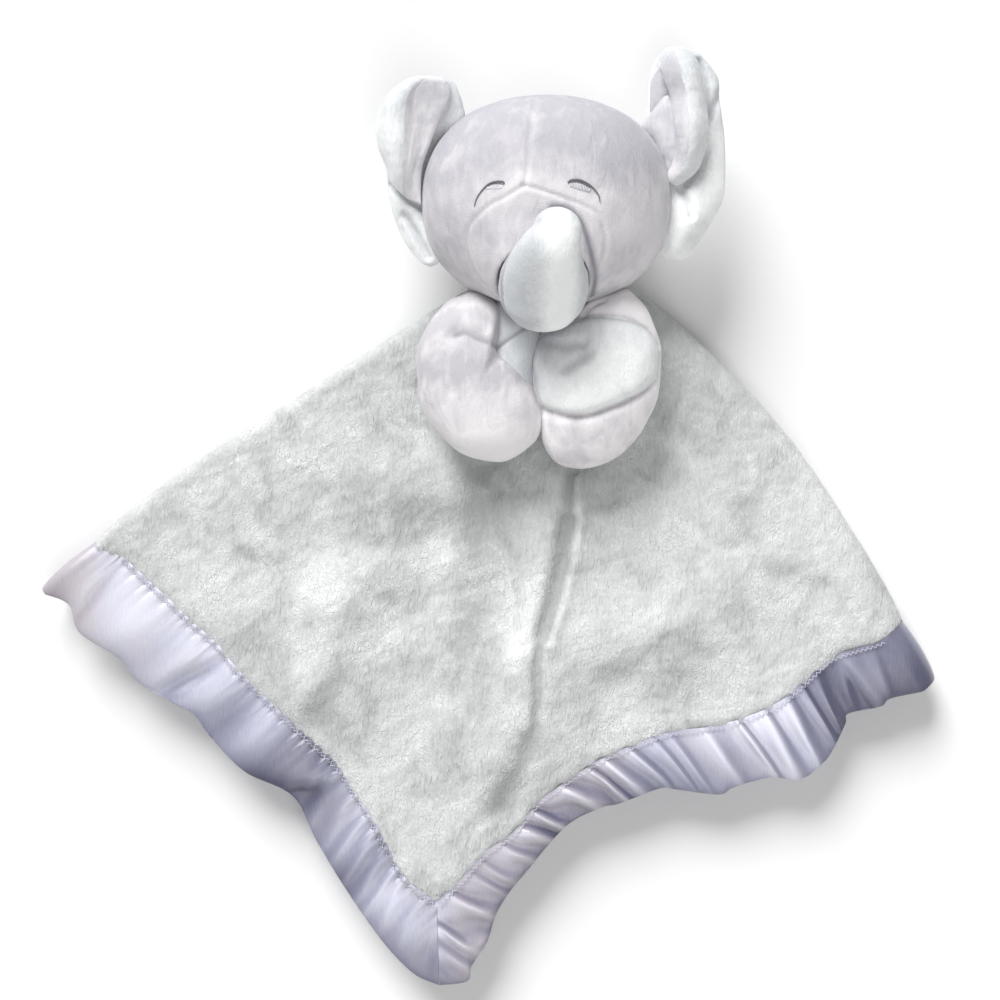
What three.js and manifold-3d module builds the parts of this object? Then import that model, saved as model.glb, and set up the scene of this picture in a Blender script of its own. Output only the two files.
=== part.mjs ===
// Comfort blanket lovey: a stuffed elephant's head with trunk, ears and hugging arms,
// sewn at the neck to the middle of a square plush blanket with a satin binding.
// The toy lies on its back. The blanket is folded in quarters behind its front quarter,
// so two of the front quarter's edges are folds and two are bound.
// Millimetres, +Z up from the table to the toy's face, +Y towards the top of its head.
// The origin is on the table, under the middle of the folded blanket.

import * as THREE from "three";
import { mergeVertices } from "three/addons/utils/BufferGeometryUtils.js";
import Module from "manifold-3d";

const wasm = await Module();
wasm.setup();

// Fabric and sewing
const clearance = 0.3;
const plushThickness = 2.2;
const backingThickness = 1.0;
const satinThickness = 0.65;
const velourThickness = 1.4;
const layerGap = 0.5;

// Blanket, cut and bound
const blanketSide = 400;
const bindingWidth = 22;
const bindingGrip = 9;
const sewnEdgeThickness = 1.6;
const sewnEdgeEase = 1;
const foldHeight = 4.6;
const foldWidth = 11;
const underInset = 5;

// Head, lying on its back
const headWidth = 85;
const headHeight = 72;
const headDepth = 61;
const headX = 15.5;
const headY = 99.5;
const muzzleWidth = 46;
const muzzleHeight = 38;
const muzzleDepth = 34;
const muzzleForward = 12;
const muzzleDrop = 17.5;
const neckDiameter = 18;
const neckDrop = 30;
const eyeThreadDiameter = 1.6;
const eyeSpan = 9.5;
const eyeSpacing = 30;
const faceTurn = 3.5;

// Trunk, curled up in front of the face
const trunkBaseWidth = 29;
const trunkLength = 19;
const trunkBaseForward = 23;
const trunkBaseDrop = 31;
const trunkPocketEase = 0.3;

// Ears
const leftEarSpread = 43;
const rightEarSpread = 52;
const earRootLength = 49;
const earRootDrop = 23;
const earPlushThickness = 1.8;
const earSeat = 0.8;

// Arms, lying on the blanket
const armThickness = 29;
const armLength = 46;
const shoulderWidth = 14;
const leftHandWidth = 38.4;
const rightHandWidth = 41;
const leftShoulderX = -4.5;
const leftShoulderY = 57;
const rightShoulderX = 41;
const rightShoulderY = 61;
const palmWidth = 40;
const palmHeight = 33;
const palmRise = 4;
const leftPalmWidth = 24;
const leftPalmDepth = 19;
const leftPalmRise = 6;

// The opening that the blanket's apex leaves for the head
const neckOpeningWidth = 98;
const neckOpeningHeight = 64;

// Sizes that follow from the ones above
const half = blanketSide / 2;
const sheetThickness = plushThickness + clearance + backingThickness;
const layerPitch = sheetThickness + layerGap;
const innerFoldRadius = layerPitch / 2;
const outerFoldRadius = 3 * innerFoldRadius;
const stackThickness = sheetThickness + 3 * layerPitch;
const stackMiddle = stackThickness / 2;
const headRadii = new THREE.Vector3(headWidth, headHeight, headDepth).divideScalar(2);
const headCentre = new THREE.Vector3(headX, headY, headRadii.z + clearance);
const neckRadius = neckDiameter / 2;
const neckCentre = new THREE.Vector3(headX, headY - neckDrop, neckRadius + clearance);

const axisX = new THREE.Vector3(1, 0, 0);
const axisZ = new THREE.Vector3(0, 0, 1);
const fullTurn = 2 * Math.PI;
const quarterTurn = fullTurn / 4;

// Facet counts: round the form, then from end to end
const skullFacets = [18, 11];
const muzzleFacets = [12, 8];
const ballFacets = [20, 13];
const palmFacets = [12, 8];
const ovalFacets = 32;
const weldTolerance = 1e-4;

const colours = {
  plush: new THREE.MeshStandardMaterial({ color: 0xd3d9d6, roughness: 0.95, metalness: 0 }),
  backing: new THREE.MeshStandardMaterial({ color: 0xc9cccd, roughness: 0.9, metalness: 0 }),
  satin: new THREE.MeshStandardMaterial({ color: 0xb5abcf, roughness: 0.4, metalness: 0 }),
  velour: new THREE.MeshStandardMaterial({ color: 0xd0c6cf, roughness: 0.85, metalness: 0 }),
  thread: new THREE.MeshStandardMaterial({ color: 0x5d5a63, roughness: 0.6, metalness: 0 }),
  filling: new THREE.MeshStandardMaterial({ color: 0xf2f1ec, roughness: 1, metalness: 0 }),
};

const toy = new THREE.Group();

// Turns a closed geometry into a solid that can be cut and joined.
function solidOf(geometry) {
  const bare = new THREE.BufferGeometry();
  bare.setAttribute("position", geometry.getAttribute("position"));
  bare.setIndex(geometry.getIndex());
  const merged = mergeVertices(bare, weldTolerance);
  const vertProperties = new Float32Array(merged.getAttribute("position").array);
  const triVerts = new Uint32Array(merged.getIndex().array);
  return new wasm.Manifold(new wasm.Mesh({ numProp: 3, vertProperties, triVerts }));
}

// Adds a solid to the toy as a named piece.
function addPiece(name, solid, material) {
  const cut = solid.getMesh();
  const geometry = new THREE.BufferGeometry();
  geometry.setAttribute("position", new THREE.BufferAttribute(new Float32Array(cut.vertProperties), 3));
  geometry.setIndex(new THREE.BufferAttribute(new Uint32Array(cut.triVerts), 1));
  geometry.computeVertexNormals();
  const mesh = new THREE.Mesh(geometry, material);
  mesh.name = name;
  toy.add(mesh);
}

// Reads a table of evenly spaced values smoothly at a share of its length.
function readShares(values, share) {
  const curve = new THREE.SplineCurve(values.map((value, i) => new THREE.Vector2(i, value)));
  return curve.getPoint(THREE.MathUtils.clamp(share, 0, 1)).y;
}

// A closed body through rings of points, with one point closing each end.
function ringBody(rings, startPoint, endPoint) {
  const sides = rings[0].length;
  const points = [startPoint, ...rings.flat(), endPoint];
  const last = points.length - 1;
  const index = [];
  for (let side = 0; side < sides; side += 1) {
    const next = (side + 1) % sides;
    index.push(0, 1 + next, 1 + side);
    const end = 1 + (rings.length - 1) * sides;
    index.push(last, end + side, end + next);
    for (let ring = 0; ring + 1 < rings.length; ring += 1) {
      const here = 1 + ring * sides;
      const there = here + sides;
      index.push(here + side, here + next, there + side);
      index.push(here + next, there + next, there + side);
    }
  }
  return geometryOf(points, index);
}

function geometryOf(points, index) {
  const geometry = new THREE.BufferGeometry().setFromPoints(points);
  geometry.setIndex(index);
  return geometry;
}

// Some bodies come out with their faces pointing in; this turns them round.
function outward(geometry) {
  const solid = solidOf(geometry);
  if (solid.volume() >= 0) return solid;
  const index = Array.from(geometry.getIndex().array);
  for (let i = 0; i < index.length; i += 3) {
    [index[i], index[i + 1]] = [index[i + 1], index[i]];
  }
  geometry.setIndex(index);
  return solidOf(geometry);
}

function ellipsoid(centre, radii, around, down) {
  const geometry = new THREE.SphereGeometry(1, around, down);
  geometry.scale(radii.x, radii.y, radii.z);
  geometry.translate(centre.x, centre.y, centre.z);
  return solidOf(geometry);
}

// The space on one side of a plane: a thick slab whose base lies on the plane.
function halfSpace(point, normal) {
  const geometry = new THREE.BoxGeometry(blanketSide, blanketSide, half);
  geometry.translate(0, 0, half / 2);
  geometry.applyQuaternion(new THREE.Quaternion().setFromUnitVectors(axisZ, normal));
  geometry.translate(point.x, point.y, point.z);
  return solidOf(geometry);
}

// The blanket is described on the flat square: p and q run from -1 to 1 across it, with
// the neck at the middle. The quarter with both positive is the front one. The half with
// negative p is folded under along the left fold, then all of it with negative q is folded
// under along the right fold. Height is measured from the cloth's middle to its plush side.

const apexShares = [0.09, 0.425];
const leftCornerShares = [-0.772, -0.16];
const bottomCornerShares = [-0.1075, -0.83];
const rightCornerShares = [0.718, -0.325];
const leftFoldBulgeShares = [0, 0.012, 0.018, 0.022, 0];
const rightFoldBulgeShares = [0, 0.05, 0.068, 0.043, 0];
const leftEdgeBulgeShares = [
  0, 0.01, -0.003, -0.022, -0.026, -0.022, -0.043, -0.026, -0.004, 0.01, 0,
];
const rightEdgeBulgeShares = [
  0, -0.012, 0.005, 0.008, -0.022, -0.05, -0.092, -0.112, -0.085, -0.045, 0,
];

const apex = flatPoint(apexShares);
const leftCorner = flatPoint(leftCornerShares);
const bottomCorner = flatPoint(bottomCornerShares);
const rightCorner = flatPoint(rightCornerShares);

function flatPoint(shares) {
  return new THREE.Vector2(shares[0], shares[1]).multiplyScalar(half);
}

// The unit normal of a chord, on the side away from the quarter's middle.
function outwardNormal(start, end) {
  const middle = apex.clone().add(bottomCorner).divideScalar(2);
  const along = end.clone().sub(start);
  const normal = new THREE.Vector2(along.y, -along.x).normalize();
  return normal.dot(start.clone().sub(middle)) < 0 ? normal.negate() : normal;
}

function bulgedEdge(start, end, bulgeShares) {
  const normal = outwardNormal(start, end);
  const chord = end.clone().sub(start).length();
  return (share) => {
    const bulge = chord * readShares(bulgeShares, share);
    return start.clone().lerp(end, share).addScaledVector(normal, bulge);
  };
}

const leftFold = bulgedEdge(apex, leftCorner, leftFoldBulgeShares);
const rightFold = bulgedEdge(apex, rightCorner, rightFoldBulgeShares);
const leftEdge = bulgedEdge(leftCorner, bottomCorner, leftEdgeBulgeShares);
const rightEdge = bulgedEdge(rightCorner, bottomCorner, rightEdgeBulgeShares);
const leftFoldNormal = outwardNormal(apex, leftCorner);
const rightFoldNormal = outwardNormal(apex, rightCorner);

// A quarter's outline, filled in smoothly between its four curved edges.
function quarterPoint(acrossShare, downShare) {
  const a = acrossShare;
  const b = downShare;
  const point = new THREE.Vector2();
  point.addScaledVector(rightFold(a), 1 - b).addScaledVector(leftEdge(a), b);
  point.addScaledVector(leftFold(b), 1 - a).addScaledVector(rightEdge(b), a);
  point.addScaledVector(apex, -(1 - a) * (1 - b)).addScaledVector(rightCorner, -a * (1 - b));
  return point.addScaledVector(leftCorner, -(1 - a) * b).addScaledVector(bottomCorner, -a * b);
}

// The soft folds that the front quarter lies in: lines in shares of half the blanket.
const foldLinesShares = [
  [[0.15, 0], [0.155, -0.1], [0.115, -0.235], [0.088, -0.335], [0.07, -0.45]],
  [[0.05, -0.02], [0.032, -0.17], [-0.008, -0.32], [-0.05, -0.5]],
  [[0.17, -0.3], [0.28, -0.18], [0.4, -0.1]],
  [[-0.13, 0.02], [-0.28, -0.2], [-0.3, -0.33]],
];
const foldLines = foldLinesShares.map((line) => line.map(flatPoint));

function distanceToLine(point, line) {
  let best = Infinity;
  for (let i = 0; i + 1 < line.length; i += 1) {
    const along = line[i + 1].clone().sub(line[i]);
    const share = point.clone().sub(line[i]).dot(along) / along.lengthSq();
    const foot = line[i].clone().addScaledVector(along, THREE.MathUtils.clamp(share, 0, 1));
    best = Math.min(best, foot.distanceTo(point));
  }
  return best;
}

function foldLift(point) {
  return foldLines.reduce((height, line) => {
    const across = distanceToLine(point, line) / foldWidth;
    return height + foldHeight * Math.exp(-across * across);
  }, 0);
}

const leftFoldArc = (quarterTurn * innerFoldRadius) / half;
const rightFoldArc = (quarterTurn * outerFoldRadius) / half;
const bindingStart = 1 - bindingWidth / half;
const foldFadeShare = 0.12;

function turnThrough(value, arc) {
  return quarterTurn * THREE.MathUtils.clamp(value / arc, -1, 1);
}

// A point of the folded blanket, at a height above the cloth's middle surface.
function blanketPoint(p, q, height) {
  const leftTurn = turnThrough(p, leftFoldArc);
  const rightTurn = turnThrough(q, rightFoldArc);
  const front = ((1 + Math.sin(leftTurn)) * (1 + Math.sin(rightTurn))) / 4;
  const shrink = 1 - (underInset / half) * (1 - front);
  const a = (Math.max(0, Math.abs(p) - leftFoldArc) / (1 - leftFoldArc)) * shrink;
  const b = (Math.max(0, Math.abs(q) - rightFoldArc) / (1 - rightFoldArc)) * shrink;
  const flat = quarterPoint(a, b);
  // The second fold carries two layers: the front one outside, the folded one inside it.
  const outerSide = Math.sin(leftTurn);
  const layerRadius = stackMiddle - sheetThickness / 2 - innerFoldRadius;
  const level = layerRadius + outerSide * (innerFoldRadius + height);
  const reach = Math.cos(leftTurn) * (innerFoldRadius + height);
  flat.addScaledVector(leftFoldNormal, reach);
  flat.addScaledVector(rightFoldNormal, Math.cos(rightTurn) * level);
  const isFront = leftTurn === quarterTurn && rightTurn === quarterTurn;
  const lift = isFront ? foldLift(flat) * edgeFade(a, b) : 0;
  return new THREE.Vector3(flat.x, flat.y, stackMiddle + Math.sin(rightTurn) * level + lift);
}

// The soft folds die out towards the folded edges and the binding.
function edgeFade(a, b) {
  const foldSide = Math.min(1, a / foldFadeShare) * Math.min(1, b / foldFadeShare);
  const boundSide = (bindingStart - Math.max(a, b)) / foldFadeShare;
  return foldSide * THREE.MathUtils.clamp(boundSide, 0, 1);
}

// The square's grid lines: close together round the folds, wider apart under the toy.
const underShares = [-0.8, -0.55, -0.3];
const frontShares = [0.16, 0.26, 0.36, 0.47, 0.58, 0.69, 0.8];
const holeShare = 0.078;
const leftTurnShares = [-1, -0.5, 0, 0.5, 1];
const rightTurnShares = [-1, -0.6, -0.2, 0.2, 0.6, 1];
const sewnStart = bindingStart + clearance / half;
const sheetEnd = bindingStart + (bindingGrip - sewnEdgeEase) / half;

function gridLines(turnShares, arc) {
  const turns = turnShares.map((share) => share * arc);
  const lines = [...underShares, -holeShare, ...turns, holeShare, ...frontShares];
  return [-sheetEnd, -sewnStart, ...lines, sewnStart, sheetEnd];
}

const acrossLines = gridLines(leftTurnShares, leftFoldArc);
const downLines = gridLines(rightTurnShares, rightFoldArc);

// One side of a cloth layer: a point of it at every crossing of the grid lines.
function clothSide(fullHeight, sewnHeight) {
  return acrossLines.flatMap((p) => downLines.map((q) => {
    const isSewn = Math.max(Math.abs(p), Math.abs(q)) >= sewnStart;
    return blanketPoint(p, q, isSewn ? sewnHeight : fullHeight);
  }));
}

// The grid's cells, without those in the hole that the neck takes.
function clothCells() {
  const columns = downLines.length;
  const middles = (lines) => lines.slice(1).map((line, i) => (line + lines[i]) / 2);
  const cells = [];
  middles(acrossLines).forEach((p, i) => middles(downLines).forEach((q, j) => {
    if (Math.max(Math.abs(p), Math.abs(q)) < holeShare) return;
    const here = i * columns + j;
    cells.push([here, here + columns, here + columns + 1, here + 1]);
  }));
  return cells;
}

// One layer of the cloth, between two heights, thinner where it is sewn into the binding.
function clothLayer(low, high, sewnLow, sewnHigh) {
  const above = clothSide(high, sewnHigh);
  const below = above.length;
  const index = [];
  const rims = new Map();
  clothCells().forEach((corners) => {
    const [a, b, c, d] = corners;
    index.push(a, b, c, a, c, d);
    index.push(below + a, below + c, below + b, below + a, below + d, below + c);
    corners.forEach((start, k) => {
      const end = corners[(k + 1) % corners.length];
      const isShared = rims.delete(`${end} ${start}`);
      if (!isShared) rims.set(`${start} ${end}`, [start, end]);
    });
  });
  rims.forEach(([start, end]) => {
    index.push(start, below + start, below + end, start, below + end, end);
  });
  return outward(geometryOf([...above, ...clothSide(low, sewnLow)], index));
}

// The bound edge: a folded satin strip, open on its inner side to take the cloth's edge.
function bindingSection() {
  const grip = bindingGrip / bindingWidth;
  const slot = sewnEdgeThickness / 2 + clearance;
  const wall = slot + satinThickness;
  const rounding = 1 - wall / bindingWidth;
  const top = [[0, wall], [rounding, wall], [1, wall / 2]];
  const under = [[1, -wall / 2], [rounding, -wall], [0, -wall]];
  const inner = [[0, -slot], [grip, -slot], [grip, slot], [0, slot]];
  return [...top, ...under, ...inner].reverse();
}

const mitreShares = [0.35, 0.7, 1];

// The strip's rows: one at each grid line, and a few that lean over to the corner mitres.
function bindingRows(lines) {
  const stations = lines.filter((line) => Math.abs(line) <= bindingStart);
  const mitre = (across) => across - clearance / half;
  const first = stations[0];
  const last = stations[stations.length - 1];
  const towards = mitreShares.map((share) => (across) => last + (mitre(across) - last) * share);
  const from = mitreShares.map((share) => (across) => first - (mitre(across) + first) * share);
  return [...from.reverse(), ...stations.map((line) => () => line), ...towards];
}

function bindingStrip(pointAt, lines) {
  const section = bindingSection();
  const sides = section.length;
  const rows = bindingRows(lines).map((along) => section.map(([share, height]) => {
    const across = bindingStart + (1 - bindingStart) * share;
    return pointAt(across, along(across), height);
  }));
  const index = [];
  for (let row = 0; row + 1 < rows.length; row += 1) {
    for (let side = 0; side < sides; side += 1) {
      const here = row * sides + side;
      const next = row * sides + ((side + 1) % sides);
      index.push(here, next, next + sides, here, next + sides, here + sides);
    }
  }
  const outline = section.map(([share, height]) => new THREE.Vector2(share * bindingWidth, height));
  const lastRow = (rows.length - 1) * sides;
  THREE.ShapeUtils.triangulateShape(outline, []).forEach(([a, b, c]) => {
    index.push(a, c, b, lastRow + a, lastRow + b, lastRow + c);
  });
  return outward(geometryOf(rows.flat(), index));
}

// The head: a flattened ball with a fuller muzzle, both set in by the same amount.
const muzzleCentre = new THREE.Vector3(headX - faceTurn, headY - muzzleDrop, headCentre.z + muzzleForward);
const muzzleRadii = new THREE.Vector3(muzzleWidth, muzzleHeight, muzzleDepth).divideScalar(2);

function headForm(inset) {
  const shrink = new THREE.Vector3(inset, inset, inset);
  const skull = ellipsoid(headCentre, headRadii.clone().sub(shrink), ...skullFacets);
  return skull.add(ellipsoid(muzzleCentre, muzzleRadii.clone().sub(shrink), ...muzzleFacets));
}

const capSteps = 3;

// One ring of a soft limb, square to its path, scaled down and pushed along for a round end.
function limbRing(limb, share, scale, push) {
  const along = limb.curve.getTangentAt(share);
  const side = along.clone().cross(axisZ).normalize();
  const front = side.clone().cross(along);
  const width = (readShares(limb.widths, share) / 2 - limb.inset) * scale;
  const depth = (readShares(limb.depths, share) / 2 - limb.inset) * scale;
  const centre = limb.curve.getPointAt(share).addScaledVector(along, push);
  return Array.from({ length: limb.sides }, (_, i) => {
    const turn = (fullTurn * i) / limb.sides;
    const point = centre.clone().addScaledVector(side, width * Math.cos(turn));
    return point.addScaledVector(front, depth * Math.sin(turn));
  });
}

// A soft limb: rings along a path, with its own width and depth at each share of the path.
function limbForm({ path, ...sizes }) {
  const limb = { ...sizes, curve: new THREE.CatmullRomCurve3(path) };
  const radiusAt = (share) => (readShares(limb.widths, share) + readShares(limb.depths, share)) / 4;
  const capLength = (share) => radiusAt(share) - limb.inset;
  const capTurns = Array.from({ length: capSteps - 1 }, (_, i) => (quarterTurn * (i + 1)) / capSteps);
  const startRings = capTurns.map((turn) => (
    limbRing(limb, 0, Math.sin(turn), -capLength(0) * Math.cos(turn))
  ));
  const endRings = capTurns.toReversed().map((turn) => (
    limbRing(limb, 1, Math.sin(turn), capLength(1) * Math.cos(turn))
  ));
  const middleRings = Array.from({ length: limb.steps + 1 }, (_, i) => (
    limbRing(limb, i / limb.steps, 1, 0)
  ));
  const start = limb.curve.getPointAt(0).addScaledVector(limb.curve.getTangentAt(0), -capLength(0));
  const end = limb.curve.getPointAt(1).addScaledVector(limb.curve.getTangentAt(1), capLength(1));
  return outward(ringBody([...startRings, ...middleRings, ...endRings], start, end));
}

// Trunk: it rises from the muzzle's lower end and lies up over the face.
const trunkBase = new THREE.Vector3(muzzleCentre.x, headY - trunkBaseDrop, headCentre.z + trunkBaseForward);
const trunkPathShares = [
  [0, 0, 0], [0.03, 0.28, 0.5], [0.12, 0.55, 0.82], [0.22, 0.76, 0.94], [0.3, 0.9, 0.95],
];
const trunkWidthShares = [1, 0.97, 0.85, 0.67, 0.5];
const trunkDepthShares = [1, 0.8, 0.62, 0.5, 0.42];
const trunkSeamRiseShare = 1.1;

function trunkForm(inset) {
  const path = trunkPathShares.map(([x, y, z]) => (
    new THREE.Vector3(x, y, z).multiplyScalar(trunkLength).add(trunkBase)
  ));
  const widths = trunkWidthShares.map((share) => share * trunkBaseWidth);
  const depths = trunkDepthShares.map((share) => share * trunkBaseWidth);
  return limbForm({ path, widths, depths, inset, steps: 6, sides: 10 });
}

// Arms: each leaves the neck under the chin and curls round over the blanket.
const armRest = stackThickness + clearance;
const armDepthShares = [0, 0.5, 0.9, 1, 1];
const armShapes = {
  left: {
    shoulder: new THREE.Vector2(leftShoulderX, leftShoulderY),
    pathShares: [[0, 0], [-0.09, -0.115], [-0.137, -0.255], [-0.135, -0.405], [-0.083, -0.55]],
    widthShares: [0, 0.38, 0.68, 0.88, 1],
    handWidth: leftHandWidth,
  },
  right: {
    shoulder: new THREE.Vector2(rightShoulderX, rightShoulderY),
    pathShares: [[0, 0], [-0.06, -0.13], [-0.11, -0.27], [-0.16, -0.45], [-0.18, -0.63]],
    widthShares: [0, 0.4, 0.75, 0.98, 1],
    handWidth: rightHandWidth,
  },
};

function armForm({ shoulder, pathShares, widthShares, handWidth }, inset) {
  const widths = widthShares.map((share) => shoulderWidth + share * (handWidth - shoulderWidth));
  const depths = armDepthShares.map((share) => shoulderWidth + share * (armThickness - shoulderWidth));
  const path = pathShares.map(([x, y], i) => (
    new THREE.Vector3(shoulder.x + x * armLength, shoulder.y + y * armLength, armRest + depths[i] / 2)
  ));
  return limbForm({ path, widths, depths, inset, steps: 6, sides: 12 });
}

// The right palm faces up: an oval let into the top of the hand.
function rightPalmSpace(growth) {
  const geometry = new THREE.CylinderGeometry(1, 1, armThickness, ovalFacets);
  geometry.rotateX(quarterTurn);
  geometry.scale(palmWidth / 2 + growth, palmHeight / 2 + growth, 1);
  const centre = armShapes.right.shoulder.clone().addScaledVector(
    new THREE.Vector2(...armShapes.right.pathShares[3]),
    armLength,
  );
  geometry.translate(centre.x, centre.y + palmRise, armRest + armThickness - growth);
  return solidOf(geometry);
}

// The left palm faces the other hand, so only its edge shows.
function leftPalmSpace(growth) {
  const [x, y] = armShapes.left.pathShares[4];
  const { shoulder } = armShapes.left;
  const centre = new THREE.Vector3(
    shoulder.x + x * armLength + leftHandWidth / 2,
    shoulder.y + y * armLength + leftPalmRise,
    armRest + armThickness / 2,
  );
  const radii = new THREE.Vector3(leftPalmDepth, leftPalmWidth, leftPalmDepth).divideScalar(2);
  return ellipsoid(centre, radii.addScalar(growth), ...palmFacets);
}

// Ears: two layers sewn back to back, cupped, with the rim curling forward.
const earWidthShares = [0.33, 0.58, 0.75, 0.87, 0.99, 0.97, 0.84, 0.19];
const earFanShares = [0.17, 0.44, 0.57, 0.66, 0.74, 0.82, 0.97, 0.93];
const earBackTurn = -quarterTurn / 5;
const earFrontTurn = quarterTurn * 1.4;
const earCurlSteps = 24;
const earColumns = 8;
const earRows = 9;

function headEdge(y, z, side) {
  const down = (y - headCentre.y) / headRadii.y;
  const forward = (z - headCentre.z) / headRadii.z;
  return headCentre.x + side * headRadii.x * Math.sqrt(1 - down * down - forward * forward);
}

// A point of the ear: along its root, then out towards the rim, then off its surface.
function earPoint(side, rim, along, height) {
  const y = headY - earRootDrop + earRootLength * along;
  const fan = quarterTurn * readShares(earFanShares, along);
  const outwards = new THREE.Vector3(side * Math.cos(fan), Math.sin(fan), 0);
  const spread = side < 0 ? leftEarSpread : rightEarSpread;
  const step = (spread * readShares(earWidthShares, along)) / earCurlSteps;
  const point = new THREE.Vector3(headEdge(y, headCentre.z, side) + side * earSeat, y, headCentre.z);
  let turn = earBackTurn;
  for (let i = 0; i < Math.round(earCurlSteps * rim); i += 1) {
    const share = (i + 0.5) / earCurlSteps;
    turn = earBackTurn + (earFrontTurn - earBackTurn) * share * share;
    point.addScaledVector(outwards, step * Math.cos(turn));
    point.addScaledVector(axisZ, step * Math.sin(turn));
  }
  point.addScaledVector(outwards, -Math.sin(turn) * height);
  return point.addScaledVector(axisZ, Math.cos(turn) * height);
}

function earSide(side, height) {
  const points = [];
  for (let i = 0; i < earColumns; i += 1) {
    for (let j = 0; j < earRows; j += 1) {
      points.push(earPoint(side, i / (earColumns - 1), j / (earRows - 1), height));
    }
  }
  return points;
}

function earLayer(side, low, high) {
  const above = earSide(side, high);
  const below = above.length;
  const index = [];
  const wall = (a, b) => index.push(a, below + a, below + b, a, below + b, b);
  for (let i = 0; i + 1 < earColumns; i += 1) {
    for (let j = 0; j + 1 < earRows; j += 1) {
      const a = i * earRows + j;
      const [b, c, d] = [a + earRows, a + earRows + 1, a + 1];
      index.push(a, b, c, a, c, d);
      index.push(below + a, below + c, below + b, below + a, below + d, below + c);
      if (j === 0) wall(a, b);
      if (j === earRows - 2) wall(c, d);
      if (i === 0) wall(d, a);
      if (i === earColumns - 2) wall(b, c);
    }
  }
  return outward(geometryOf([...above, ...earSide(side, low)], index));
}

// Closed eyes: a sewn arc on the forehead of each side.
const eyeArcShares = [[-0.5, -0.44], [-0.44, -0.14], [-0.23, 0.14], [0.06, 0.34], [0.47, 0.34]];

// A point on the head's front, held off it by a height.
function foreheadPoint(x, y, height) {
  const across = (x - headCentre.x) / headRadii.x;
  const up = (y - headCentre.y) / headRadii.y;
  const rise = Math.sqrt(1 - across * across - up * up);
  const normal = new THREE.Vector3(across / headRadii.x, up / headRadii.y, rise / headRadii.z);
  const surface = new THREE.Vector3(x, y, headCentre.z + headRadii.z * rise);
  return surface.addScaledVector(normal.normalize(), height);
}

function eyeForm(side) {
  const middle = headX - faceTurn + (side * eyeSpacing) / 2;
  const height = eyeThreadDiameter / 2 + clearance;
  const path = eyeArcShares.map(([x, y]) => (
    foreheadPoint(middle - side * x * eyeSpan, headY + y * eyeSpan, height)
  ));
  const sizes = eyeArcShares.map(() => eyeThreadDiameter);
  return limbForm({ path, widths: sizes, depths: sizes, inset: 0, steps: 6, sides: 5 });
}

function ball(centre, radius) {
  return ellipsoid(centre, new THREE.Vector3(radius, radius, radius), ...ballFacets);
}

function neckForm(growth) {
  return ball(neckCentre, neckRadius + growth);
}

// Where the head and the neck lie, the blanket's apex is drawn in.
function neckOpening() {
  const geometry = new THREE.CylinderGeometry(1, 1, blanketSide, ovalFacets);
  geometry.rotateX(quarterTurn);
  geometry.scale(neckOpeningWidth / 2, neckOpeningHeight / 2, 1);
  geometry.translate(headX, headY, 0);
  return solidOf(geometry).add(neckForm(clearance));
}

function addBlanket() {
  const opening = neckOpening();
  const top = sheetThickness / 2;
  const sewn = sewnEdgeThickness / 2;
  const backingShare = backingThickness / (plushThickness + backingThickness);
  const sewnBacking = (sewnEdgeThickness - clearance) * backingShare;
  const face = clothLayer(top - plushThickness, top, sewnBacking + clearance - sewn, sewn);
  const backing = clothLayer(-top, backingThickness - top, -sewn, sewnBacking - sewn);
  addPiece("blanket_face", face.subtract(opening), colours.plush);
  addPiece("blanket_backing", backing.subtract(opening), colours.backing);
  const strips = {
    binding_right: [(across, along, height) => blanketPoint(across, along, height), downLines],
    binding_left: [(across, along, height) => blanketPoint(along, across, height), acrossLines],
    binding_under_right: [(across, along, height) => blanketPoint(-across, along, height), downLines],
    binding_under_left: [(across, along, height) => blanketPoint(along, -across, height), acrossLines],
  };
  Object.entries(strips).forEach(([name, [pointAt, lines]]) => {
    addPiece(name, bindingStrip(pointAt, lines), colours.satin);
  });
  addPiece("neck", neckForm(0), colours.velour);
}

const muzzlePanelShares = [
  [-0.1, 0.5], [0.22, 0.4], [0.48, 0.12], [0.5, -0.2], [0.36, -0.62],
  [-0.4, -0.62], [-0.5, -0.2], [-0.44, 0.14], [-0.28, 0.38],
];

function muzzlePanelSpace(growth) {
  const panelWidth = muzzleWidth + 2 * growth;
  const panelHeight = muzzleHeight + 2 * growth;
  const points = muzzlePanelShares.map(([x, y]) => new THREE.Vector2(x * panelWidth, y * panelHeight));
  const outline = new THREE.SplineCurve([...points, points[0]]).getPoints(20);
  const shape = new THREE.Shape(outline.slice(0, -1));
  const geometry = new THREE.ExtrudeGeometry(shape, { depth: headDepth, bevelEnabled: false });
  geometry.translate(muzzleCentre.x, muzzleCentre.y, headCentre.z);
  geometry.deleteAttribute("uv");
  geometry.deleteAttribute("normal");
  return solidOf(mergeVertices(geometry));
}

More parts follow.
